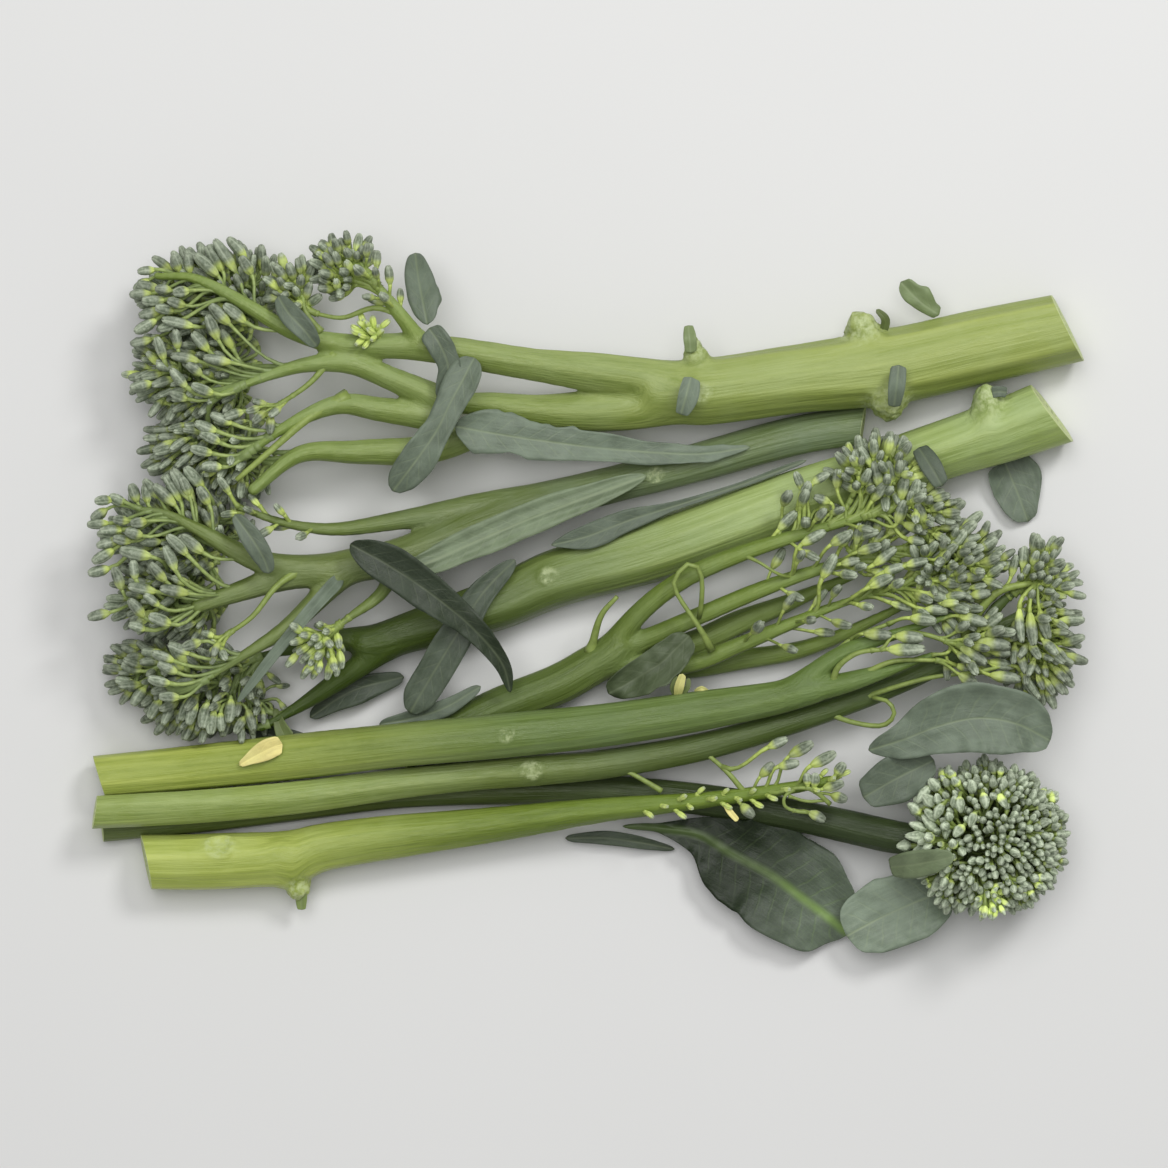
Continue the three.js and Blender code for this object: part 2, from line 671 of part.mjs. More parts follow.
// Leaves and bracts, each a node of its own, in the order of the bunch from top left down.
const leaves = [
  {
    spine: [
      [-30, 52, 17, 0.8],
      [-30.8, 56, 16, 2.6],
      [-31.8, 61, 13.5, 2.4],
      [-32.5, 66, 10, 0.6],
    ],
  },
  {
    spine: [
      [-57.8, 57, 22.8, 0.6],
      [-55.8, 53.8, 24, 2.1],
      [-53, 50.8, 24.2, 2.1],
      [-50.5, 47.6, 22.5, 0.6],
    ],
  },
  {
    spine: [
      [-28.8, 50.4, 19.6, 0.6],
      [-28, 46.5, 20, 1.7],
      [-27.2, 42, 18.5, 1.7],
      [-26.2, 38.4, 17, 0.5],
    ],
  },
  {
    spine: [
      [-20, 44.5, 18.9, 1],
      [-23, 37, 19.6, 2.8],
      [-27.8, 30, 18.8, 3.3],
      [-33.2, 23.4, 17.2, 2.4],
      [-36.5, 19.6, 15.5, 0.7],
    ],
  },
  {
    spine: [
      [-22.5, 32.4, 14.4, 1.8],
      [-19, 31.8, 14.5, 3.6],
      [-8.7, 30.2, 14.2, 3.1],
      [6.5, 28.5, 11.4, 2.4],
      [21.7, 27.8, 9.6, 1.3],
      [31.2, 29.1, 9.3, 0.6],
    ],
    along: 7,
  },
  {
    spine: [
      [11.4, 23.6, 11.2, 0.7],
      [2.7, 20.4, 11.8, 2],
      [-8.7, 16.2, 12.4, 3.1],
      [-20.1, 11.4, 13.4, 3.2],
      [-29.6, 7.2, 14.4, 2.3],
      [-35.3, 5.3, 14.6, 0.7],
    ],
    along: 7,
  },
  {
    spine: [
      [-44.5, 10.5, 18.6, 0.7],
      [-38, 7, 18.4, 3.6],
      [-29.5, 1.5, 17, 4.4],
      [-21, -5.2, 15, 2.8],
      [-15.8, -12.4, 12.5, 1.6],
      [-14.4, -17.6, 11, 0.6],
    ],
    along: 7,
  },
  {
    spine: [
      [-13.5, 7.6, 11.7, 0.8],
      [-19.6, 1.3, 11.6, 2.3],
      [-25.7, -8.4, 11.4, 3.4],
      [-31.2, -17.5, 9.6, 3.2],
      [-33.6, -21.6, 8.8, 0.8],
    ],
    along: 6,
  },
  {
    spine: [
      [-39.5, -23.8, 7.2, 0.6],
      [-33, -22.6, 7.4, 1.5],
      [-27, -20.6, 8.6, 1.7],
      [-20.1, -16.5, 9, 0.6],
    ],
  },
  { spine: [[-35, -14.8, 2.4, 0.7], [-44.8, -17.5, 3, 2.8], [-53, -22.6, 2.6, 0.7]] },
  { spine: [[-66.5, -23.6, 2.6, 0.7], [-56, -27.6, 2.2, 2.6], [-46, -30, 1.8, 0.7]] },
  {
    spine: [
      [-66, 16, 23, 0.6],
      [-63, 12, 23.6, 2.1],
      [-60.4, 7.6, 22.6, 1.8],
      [-59.6, 5, 21.4, 0.6],
    ],
  },
  { spine: [[66.6, 56.2, 6.5, 0.6], [62.6, 58, 7.5, 2.4], [57.8, 61.2, 8.5, 0.6]] },
  { spine: [[79.7, 26.4, 0.8, 1.2], [82.4, 21.8, 1, 5.4], [85.7, 15.6, 1, 1.2]] },
  { spine: [[63, 28.8, 13.4, 0.6], [65, 25.5, 15.4, 2.1], [67.3, 21.5, 16.4, 0.6]] },
  {
    spine: [
      [53.6, -28.5, 13.5, 0.7],
      [60, -25.6, 16, 3.5],
      [66.3, -23.5, 17.5, 5.1],
      [74, -22.7, 18, 5.7],
      [81, -24.1, 17.5, 4.5],
      [87.8, -27.6, 15.5, 0.7],
    ],
    along: 7,
    wave: 0.4,
  },
  {
    spine: [
      [66, -30.4, 13.4, 0.8],
      [59, -33.8, 13.4, 4.2],
      [52.6, -37.5, 12.4, 0.8],
    ],
    wave: 0.3,
  },
  {
    spine: [
      [7, -43.4, 4.6, 0.6],
      [14, -43.8, 4.2, 0.7],
      [22, -45.2, 4.2, 2.4],
      [27.6, -49.3, 4.1, 6.7],
      [34.6, -53.2, 4.3, 9.6],
      [41, -58.1, 3.8, 9.4],
      [46.4, -62.3, 3, 6.4],
      [50.5, -65.2, 2, 0.9],
    ],
    along: 14,
    across: 4,
    cup: 0.12,
    teeth: 0.07,
    wave: 0.35,
  },
  {
    spine: [
      [69.8, -56.8, 5.2, 0.8],
      [62, -59.6, 6.6, 5.6],
      [55, -62.8, 7, 5],
      [49.2, -66, 6.4, 0.8],
    ],
    cup: 0.12,
    wave: 0.3,
  },
  {
    spine: [
      [57.6, -50.6, 14.6, 0.7],
      [61.4, -49.9, 19, 2.6],
      [65.4, -49, 22, 2.4],
      [69, -48, 23.9, 0.8],
    ],
  },
  {
    spine: [
      [19.6, -6.8, 13, 1.3],
      [14.1, -12, 13, 3.6],
      [9, -15.2, 12, 2.4],
      [4.6, -17.1, 10.8, 0.8],
    ],
  },
  { spine: [[19.8, 46.8, 15, 0.8], [19.6, 49.2, 15.4, 1.5], [19.4, 52, 14.2, 0.5]] },
  { spine: [[19.8, 42, 18.9, 0.8], [18.8, 38.3, 19.2, 2.4], [17.9, 35, 17.8, 0.6]] },
  { spine: [[-54.3, -54.6, 6, 0.9], [-54.5, -57, 5.5, 1.4], [-54.5, -59.4, 4.5, 0.5]] },
  { spine: [[59.1, 44.4, 16.8, 0.8], [58.7, 40.5, 16.8, 1.5], [58.3, 36.6, 14.6, 0.6]] },
  {
    spine: [
      [-4, -45.8, 2.2, 0.6],
      [4, -45.8, 2.2, 1.4],
      [11, -46.8, 1.6, 1.3],
      [17, -48, 1, 0.5],
    ],
  },
  {
    spine: [
      [42, 26.6, 8.6, 0.6],
      [28, 21.4, 9, 0.6],
      [16, 17.6, 9.6, 0.9],
      [8.4, 15.2, 10.4, 2],
      [0, 12, 10.8, 2.4],
      [-6.6, 10.4, 10.8, 0.8],
    ],
    along: 7,
  },
  { spine: [[78.6, 39.9, 8, 0.7], [79.6, 40.9, 10.4, 1.1], [80.6, 41.4, 12.6, 0.5]] },
];
const LEAF_COLOUR = 0x768270;
const DARK_LEAF_COLOUR = 0x3e4a2f;
const LEAF_ROUGHNESS = 0.6;
const darkLeaves = [7, 10, 11, 15, 18, 27];

leaves.forEach(({ spine, ...form }, i) => {
  const name = "leaf_" + String(i + 1).padStart(2, "0");
  const colour = darkLeaves.includes(i + 1) ? DARK_LEAF_COLOUR : LEAF_COLOUR;
  addNode(name, blade(name, spine, form), colour, LEAF_ROUGHNESS);
});

// Heads whose buds stand close together. Their mounds are cut clear of every stalk.
const grownStalks = stalks.map((stalk) => {
  const main = tube(stalk.stem, { sides: STEM_SIDES, step: STEM_STEP, grow: GAP });
  return join([main, ...Object.values(stalk.limbs).map((route) => tube(route, { grow: GAP }))]);
});
const leftward = new THREE.Vector3(-1, 0, 0.15);
const rightward = new THREE.Vector3(1, 0, 0.3);
const HEAD_COLOUR = 0x545d53;
const HEAD_ROUGHNESS = 0.7;
const heads = [
  {
    name: "head_1",
    lumps: [
      [-69.5, 57.5, 9.6, 13, 7, 6.4],
      [-70.5, 43.5, 9.6, 13.5, 8.5, 6.8],
      [-67, 29.5, 9.2, 14, 7.5, 6.2],
    ],
    count: [36, 38, 35],
    size: LONG_BUD,
    flow: leftward,
    lean: 0.6,
    seed: 11,
  },
  {
    name: "head_2",
    lumps: [
      [-75.5, 12.5, 9, 13, 6.5, 6.4],
      [-74, 1, 9, 13.5, 7, 6.4],
    ],
    count: [36, 36],
    size: LONG_BUD,
    flow: leftward,
    lean: 0.6,
    seed: 23,
  },
  {
    name: "head_3",
    lumps: [
      [-70, -17.8, 6.4, 12.5, 6.8, 4],
      [-83, -13.5, 6.2, 6, 5, 4],
    ],
    count: [34, 16],
    size: LONG_BUD,
    flow: leftward,
    lean: 0.6,
    seed: 37,
  },
  {
    name: "head_6",
    lumps: [[85.6, -7.6, 13, 5, 9.5, 5.5]],
    count: [26],
    size: LOOSE_BUD,
    flow: rightward,
    lean: 0.5,
    seed: 53,
  },
  {
    name: "head_7",
    lumps: [[75.6, -45.8, 12.4, 13.5, 13.2, 10]],
    count: [80],
    size: ROUND_BUD,
    flow: rightward,
    lean: 0.15,
    seed: 41,
  },
];
for (const { name, lumps } of heads) {
  for (const [x, y, z, rx, ry, rz] of lumps) {
    const [centre, radii] = [new THREE.Vector3(x, y, z), new THREE.Vector3(rx, ry, rz)];
    mounds.push({ owner: name, centre, radii });
  }
}
const headSolids = heads.map(({ name, ...form }) => {
  return [name, head(name, { ...form, cuts: grownStalks })];
});
headSolids.forEach(([name, body]) => {
  addNode(name, largest(body.subtract(underfloor)), HEAD_COLOUR, HEAD_ROUGHNESS);
});

stalks.forEach((stalk, s) => {
  const main = tube(stalk.stem, { sides: STEM_SIDES, step: STEM_STEP, slant: stalk.slant });
  const limbs = Object.values(stalk.limbs).map((route) => tube(route));
  const scars = stalk.scars.map(([place, radius]) => scar(place, radius));
  const buds = Object.entries(stalk.sprays).flatMap(([limb, [count, from, reach]], i) => {
    const route = limb === "stem" ? stalk.stem : stalk.limbs[limb];
    return spray(stalk.name, route, { count, from, reach, seed: 10 * s + i });
  });
  const body = join([main, ...limbs, ...scars, ...buds]).subtract(underfloor);
  addNode(stalk.name, largest(body), stalk.colour, STEM_ROUGHNESS);
});

// The origin lies on the surface, under the middle of the bunch.
const box = new THREE.Box3().setFromObject(bunch);
bunch.position.set(-(box.min.x + box.max.x) / 2, -(box.min.y + box.max.y) / 2, -box.min.z);

const root = new THREE.Group();
root.add(bunch);
export default root;
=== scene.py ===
import math

import bmesh
import bpy
import numpy as np
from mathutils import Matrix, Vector


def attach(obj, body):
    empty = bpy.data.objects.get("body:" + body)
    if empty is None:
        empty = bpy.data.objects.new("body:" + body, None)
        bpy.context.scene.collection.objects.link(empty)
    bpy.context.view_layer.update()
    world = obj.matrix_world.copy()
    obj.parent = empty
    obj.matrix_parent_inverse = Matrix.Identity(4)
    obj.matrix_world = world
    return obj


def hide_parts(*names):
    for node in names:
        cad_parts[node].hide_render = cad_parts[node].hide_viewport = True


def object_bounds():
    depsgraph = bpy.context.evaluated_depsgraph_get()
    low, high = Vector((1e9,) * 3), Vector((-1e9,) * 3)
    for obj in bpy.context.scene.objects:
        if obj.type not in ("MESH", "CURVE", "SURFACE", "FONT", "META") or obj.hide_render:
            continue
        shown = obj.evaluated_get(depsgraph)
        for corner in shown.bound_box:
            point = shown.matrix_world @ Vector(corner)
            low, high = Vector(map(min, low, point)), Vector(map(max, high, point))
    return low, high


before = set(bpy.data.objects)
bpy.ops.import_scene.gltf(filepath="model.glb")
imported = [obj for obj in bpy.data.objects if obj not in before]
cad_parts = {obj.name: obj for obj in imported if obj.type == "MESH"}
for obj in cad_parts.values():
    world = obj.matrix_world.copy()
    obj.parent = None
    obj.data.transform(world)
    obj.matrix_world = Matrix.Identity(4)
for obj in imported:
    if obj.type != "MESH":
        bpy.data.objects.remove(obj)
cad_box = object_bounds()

bl_info = {
    "name": "Baby Broccoli Bunch",
    "version": (1, 0, 0),
    "blender": (4, 5, 0),
    "location": "3D Viewport > Sidebar > Broccoli",
    "description": "Builds a lying bunch of eight baby broccoli stalks with their heads and leaves",
    "category": "Object",
}

MM = 0.001
LAYOUT_SHIFT = np.array((-0.4418, -1.1498, 0.0))  # from the stalks' layout to the frame, in mm
UP = np.array((0.0, 0.0, 1.0))
GOLDEN_ANGLE = math.pi * (3 - math.sqrt(5))
LIMB_SLIM = 0.5  # share of its radius that a limb loses on its way to the buds
SKIN_SIDES = 16  # sides of the rough tubes under a stem's skin
FLOOR = 0.02  # lowest point of a stem, in mm
SURFACE_COLOUR = (0.74, 0.74, 0.73, 1)
room_box = [np.array(corner) / MM - LAYOUT_SHIFT for corner in cad_box]  # in layout mm


# ---- settings


def length(name, description, default, **limits):
    """A length property, kept in metres."""
    return bpy.props.FloatProperty(
        name=name, description=description, default=default, subtype="DISTANCE", unit="LENGTH",
        precision=5, **limits)


def colour(name, description, srgb):
    """A colour property from 0 to 255 display values."""
    return bpy.props.FloatVectorProperty(
        name=name, description=description, default=linear(srgb), size=4, min=0, max=1,
        subtype="COLOR")


def linear(srgb):
    """Display values from 0 to 255 as a linear colour with alpha."""
    out = []
    for value in srgb:
        v = value / 255
        out.append(v / 12.92 if v <= 0.04045 else ((v + 0.055) / 1.055) ** 2.4)
    return (*out, 1.0)


class StemSettings(bpy.types.PropertyGroup):
    """Sizes and colours of the stalks' stems."""
    grid: length("Surface grid", "Size of the mesh cells on the stems", 0.00056, min=0.0003)
    blend: length("Fork blend", "How softly a limb runs into its stem", 0.0006, min=0.0001)
    ridges: bpy.props.FloatProperty(
        name="Ridges", description="Depth of the lengthwise ridges, as a share of the radius",
        default=0.05, min=0, max=0.2)
    cut_tilt: bpy.props.FloatProperty(
        name="Cut tilt", description="How far a cut end leans up to the sky", default=0.16)
    cut_face: colour("Cut face", "Colour of the pith on a cut end", (196, 208, 150))
    scar: colour("Leaf scar", "Colour of the pads that leaves leave behind", (200, 212, 160))


class BudSettings(bpy.types.PropertyGroup):
    """Sizes and colours of the buds and the thin stems that carry them."""
    long_length: length("Bud length", "Length of a long bud", 0.0056)
    long_width: length("Bud width", "Width of a long bud", 0.0021)
    round_length: length("Round bud length", "Length of a bud of the dense head", 0.0019)
    round_width: length("Round bud width", "Width of a bud of the dense head", 0.00158)
    pedicel: length("Bud stem", "Width of the thin stem that carries a bud", 0.0007)
    base: colour("Bud base", "Colour where a bud meets its stem", (192, 208, 112))
    body: colour("Bud body", "Colour of a bud's flanks", (100, 111, 90))
    tip: colour("Bud tip", "Colour of a bud's tip and sepal edges", (184, 194, 170))


class LeafSettings(bpy.types.PropertyGroup):
    """Sizes and colours of the leaves, bracts and petals."""
    thickness: length("Leaf thickness", "Thickness of a leaf at its midrib", 0.0006)
    pale: colour("Pale leaf", "Upper face of the pale leaves", (110, 123, 105))
    dark: colour("Dark leaf", "Upper face of the dark leaves", (56, 67, 50))
    fresh: colour("Fresh leaf", "Upper face of the small fresh leaves", (134, 152, 86))
    vein: colour("Veins", "Colour of midribs and side veins", (140, 153, 116))
    petal: colour("Petals", "Colour of the few petals", (240, 226, 146))


class StageSettings(bpy.types.PropertyGroup):
    """The surface, the lights and the camera."""
    surface: length("Surface", "Side of the square surface", 3.0)
    camera_height: length("Camera height", "Height of the camera above the surface", 0.912)
    lens: bpy.props.FloatProperty(
        name="Lens", description="Focal length of the camera, in mm", default=146.0, min=10)
    overhead: bpy.props.FloatProperty(
        name="Overhead light", description="Power of the large light above", default=7.0,
        unit="POWER")
    key: bpy.props.FloatProperty(
        name="Key light", description="Power of the smaller light from one side", default=4.0,
        unit="POWER")


# ---- the bunch, in layout millimetres

STALKS = {
    "stalk_1": {
        "slot": "stem_light", "slant": 0.25, "near": (151, 165, 86), "far": (133, 150, 84),
        "stem": [[93, 52.2, 6.8, 6.9], [74.9, 48.3, 6.9, 7.2], [57.8, 44.5, 7.3, 7.3],
            [40.7, 42.2, 9, 6.4], [21.7, 39.5, 10.4, 6.4], [14, 39.3, 10.8, 4.6]],
        "limbs": {
            "upper": [[21, 41, 10.8, 4], [2.7, 43.1, 12.4, 3.8], [-10, 44.6, 13.8, 3],
                [-30.6, 47.7, 16, 2.8], [-46.7, 48.5, 17, 2.5], [-55.1, 50.5, 19.5, 2.3],
                [-63.8, 55.5, 20.5, 2.2], [-69.4, 58.7, 20, 2], [-74.5, 60.8, 19, 1.7],
                [-81, 61.2, 17, 1.3]],
            "lower": [[21, 38.2, 10, 4.2], [6.5, 36.2, 10, 4.1], [-8.7, 35.9, 10.6, 3.5],
                [-18.2, 37.1, 11.4, 3.4], [-27.7, 37.4, 12.5, 3.4], [-32, 37.4, 13.2, 2.6]],
            "middle": [[-27.5, 38, 13, 2.6], [-37.2, 42, 15.2, 2.2], [-44.5, 44.6, 16.5, 2],
                [-52.6, 44.4, 18, 1.8], [-59.3, 42.5, 19, 1.6], [-69.4, 38.4, 20, 1.2]],
            "low": [[-28.5, 34.5, 12.6, 2.6], [-39.1, 36.1, 14, 2.3], [-46.6, 37, 16, 2],
                [-56.6, 32.7, 18, 1.7], [-64.4, 27.2, 18, 1.2]],
            "under": [[-14, 35, 10, 2.6], [-28.7, 28.9, 9.5, 2.7], [-42.9, 28.1, 11, 2.7],
                [-54.3, 27.6, 13.5, 2.7], [-62.9, 20.9, 15.5, 2.3]],
            "shoot": [[-31, 48.5, 17, 1.6], [-34.5, 53, 19, 1.4], [-39, 58.7, 20, 1.2],
                [-42.4, 63.3, 20.5, 0.9]]},
        "stubs": [[[55, 47, 8, 3.8], [53.6, 50, 8.6, 3.7], [52.4, 52, 9, 2.7]],
            [[58.8, 42, 9, 3.6], [58.2, 39, 9.4, 3.6], [57.6, 37.2, 10, 2.9]],
            [[21.8, 42, 11, 3], [21, 46.2, 12.6, 2.3], [20.4, 48, 13, 1.7]]],
        "scars": [[21.5, 39.2, 15.6, 2.4]]},
    "stalk_2": {
        "slot": "stem_mid", "slant": -0.3, "near": (118, 134, 95), "far": (114, 128, 72),
        "stem": [[53.6, 33.5, 3.8, 3.7], [40.7, 31.5, 4.2, 3.8], [21.7, 26.4, 4.8, 3.7],
            [13.1, 24.1, 5.2, 3.6], [-6.3, 19, 6.2, 3.5], [-20.1, 14.4, 7.5, 3.5],
            [-35.3, 8.4, 9.5, 3.4], [-46.7, 6.1, 11.5, 3.1], [-56.6, 4.4, 14, 2.6],
            [-65.7, 1.5, 16, 2], [-73.3, -1.1, 17, 1.4]],
        "limbs": {
            "upper": [[-50, 5.6, 12.5, 2.4], [-62.3, 7.5, 17, 2.1], [-73, 13.2, 19.2, 1.7],
                [-79.5, 16.4, 19, 1.3], [-84.5, 17.2, 18, 1]],
            "lower": [[-44, 6.4, 11.2, 2.2], [-49, 1.9, 13, 2.1], [-56.6, -5.3, 15.5, 1.8],
                [-64.4, -10.3, 17, 1.5], [-71.4, -14.8, 17, 1.1]],
            "shoot": [[-36, 7.4, 10, 1.8], [-38.8, 1.3, 14, 1.2], [-45, -3.5, 17, 1],
                [-50.2, -7.5, 18, 0.8]],
            "grey": [[2.7, 21.5, 5.6, 2.2], [-18, 18.6, 7, 2.2], [-35.3, 15.2, 9, 2],
                [-48.6, 13.4, 11.5, 1.8], [-58, 14.8, 14, 1.5], [-65.7, 17.5, 16, 1.2]]},
        "scars": [[13.1, 23.8, 8.2, 1.7]]},
    "stalk_3": {
        "slot": "stem_mid", "slant": 0.3, "near": (157, 176, 106), "far": (68, 86, 27),
        "turn": (0.3, 0.85),
        "stem": [[90, 36, 5.9, 6.5], [78.7, 31.9, 5.7, 6], [69.2, 28.9, 5.5, 5.7],
            [52.1, 22.8, 5.6, 5.8], [40.7, 19.2, 5.7, 5.9], [13.1, 9.5, 5.6, 5.8],
            [-6.3, 4, 5.4, 5.6], [-16.3, -0.4, 5.5, 5.1], [-27.7, -4.2, 6, 4.3],
            [-37.2, -7.2, 7, 3.5], [-42, -8.6, 7.4, 2.7]],
        "limbs": {
            "upper": [[-38, -7.4, 7, 2.4], [-46.8, -7.6, 7, 2.1], [-54.3, -9, 6.8, 1.8],
                [-63, -11, 6.5, 1.4]],
            "lower": [[-38, -9, 7, 2.4], [-46, -14.5, 7, 2], [-55, -20.5, 7, 1.7],
                [-62, -24.5, 7.5, 1.3]]},
        "stubs": [[[77, 33, 7.4, 3.6], [76.8, 36.6, 8.4, 3.2], [76.2, 38.6, 9, 2.3]]],
        "scars": [[-7.2, 4.5, 9.8, 2]]},
    "stalk_4": {
        # stalk_4's near green is darker than its far one: painted shade on its stem and on the
        # starts of the limbs that lie under the others
        "slot": "stem_deep", "slant": 0, "near": (94, 112, 55), "far": (124, 142, 70),
        "stem": [[-36.3, -29.3, 3.8, 3.8], [-25.8, -24.9, 3.9, 3.8], [-16.3, -20.5, 4.1, 3.9],
            [-4.9, -16, 4.7, 3.9], [1.7, -12.2, 5.3, 3.8], [6, -9.5, 6, 3]],
        "limbs": {
            "upper": [[4, -10.5, 6, 2.4], [7.5, -5.4, 8, 2], [13.2, 0.2, 10.4, 1.9],
                [19.8, 4.6, 11.8, 1.8], [29.3, 8.7, 13.2, 1.7], [40.7, 12.4, 14.6, 1.6],
                [52.1, 15.6, 15.8, 1.4], [62.5, 18.4, 16.5, 1.1]],
            "middle": [[5, -10, 6.2, 2.2], [10.3, -8, 7, 1.9], [21.7, -3, 9.5, 1.7],
                [35, 2.6, 11.5, 1.6], [46.4, 6.4, 12.8, 1.4], [57.8, 9.3, 13.6, 1.2],
                [67.3, 10.5, 14, 1]],
            "lower": [[4, -11.5, 6, 2.2], [9, -12.8, 6.4, 2], [19.8, -12.2, 8.4, 1.8],
                [29.3, -8.6, 10, 1.6], [38.8, -4.6, 11.5, 1.5], [48.3, -0.8, 12.4, 1.3],
                [59.7, 2.6, 13, 1]],
            "under": [[3, -11.8, 4.6, 2.3], [13, -10.4, 3.2, 2.3], [22, -7.8, 2.8, 2.4],
                [29.3, -4.4, 2.9, 2.6], [36.9, -1.4, 3.2, 2.5], [44, 1.6, 4.2, 2.2],
                [51, 4.6, 6.4, 1.6]],
            "deep": [[5, -12.6, 4.2, 1.8], [19.8, -13.2, 2.4, 1.9], [30, -11.5, 2.4, 2],
                [40, -9.9, 3, 2], [48, -7.2, 4.4, 1.9], [56, -3.4, 6.2, 1.7],
                [64, 0.6, 8.6, 1.3]]}},
    "stalk_5": {
        "slot": "stem_light", "slant": 0.2, "near": (168, 181, 86), "far": (106, 127, 66),
        "turn": (0.1, 0.55),
        "stem": [[-93.8, -34, 4.7, 4.2], [-73.3, -31.9, 6.5, 4.3], [-54.3, -29.8, 9.2, 4.3],
            [-35.3, -27.6, 12.6, 4.2], [-16.3, -25.8, 13, 4.2], [2.7, -23.8, 13, 4.1],
            [21.7, -21, 13, 3.8], [35.9, -18.6, 13.2, 3.2], [42, -17.3, 13.5, 2.4]],
        "limbs": {
            "upper": [[38, -17.8, 13.3, 2.2], [42.8, -13.9, 14.4, 1.8], [49.4, -9.7, 15.4, 1.6],
                [59.7, -6.1, 16, 1.4], [69.2, -2.9, 16, 1]],
            "lower": [[40, -17.6, 13.4, 2.4], [46.4, -16.4, 14.2, 2.1], [55.9, -13.7, 15, 1.7],
                [65.4, -10.5, 15.5, 1.2]]},
        "scars": [[-15, -25.6, 16.6, 1.6]]},
    "stalk_6": {
        "slot": "stem_mid", "slant": -0.2, "near": (154, 171, 96), "far": (82, 98, 50),
        "turn": (0.1, 0.72),
        "stem": [[-94.2, -40.6, 8.6, 3.1], [-73.3, -39.4, 8.9, 3.2], [-54.3, -37.6, 9, 3.1],
            [-35.3, -35, 9, 2.9], [-22, -33.6, 8.8, 2.8], [-9.7, -32.5, 9, 2.9],
            [2.7, -31.4, 9.2, 2.8], [21.7, -28.1, 9.2, 2.7], [40.7, -22.8, 8.6, 2.4],
            [55.9, -17.5, 9, 2.1], [67.3, -12.4, 10, 1.9], [74.9, -7.6, 12, 1.5],
            [84.4, -1.9, 13, 1]],
        "limbs": {
            "tip": [[74, -8.2, 11.7, 1.4], [78.7, -0.6, 13.5, 1.1], [85.5, 3.8, 14.5, 0.9]]},
        "scars": [[-10.4, -32.4, 11.4, 2.1]]},
    "stalk_7": {
        "slot": "stem_mid", "slant": 0, "near": (100, 114, 58), "far": (50, 64, 28),
        "stem": [[-93.3, -44, 2.4, 2.6], [-73.3, -42, 2.5, 2.7], [-54.3, -39.6, 2.6, 2.7],
            [-35.3, -37.4, 2.7, 2.7], [-16.3, -36.6, 2.8, 2.8], [2.7, -36.6, 3.1, 2.9],
            [21.7, -38.2, 4, 3], [36.9, -40.5, 5, 3.1], [50.2, -43.3, 7, 3.2], [58, -45, 8.8, 3.2],
            [65, -46, 10.5, 2.8]]},
    "stalk_8": {
        "slot": "stem_light", "slant": 0.2, "near": (177, 190, 97), "far": (110, 130, 46),
        "turn": (0.1, 0.62),
        "stem": [[-85, -50.3, 5, 5.2], [-73.3, -50.3, 5.1, 5.2], [-63.8, -49.9, 5.2, 5.2],
            [-57, -49.5, 5.2, 5.2], [-51, -47.6, 5.4, 4.6], [-43, -46.2, 5.6, 4.4],
            [-35.3, -45.2, 5.8, 4.2], [-16.3, -42.8, 6.6, 3.3], [2.7, -40.1, 8.6, 2.3],
            [21.7, -38.2, 9.8, 1.6], [35, -36.4, 11, 1.3], [46.4, -34.4, 12, 1]],
        "stubs": [[[-57.4, -49.5, 5.6, 4.6], [-56.4, -52.6, 5.6, 3.4], [-55.2, -55.2, 5.6, 2]]],
        "scars": [[-70, -47, 9.2, 2.8]]},
}

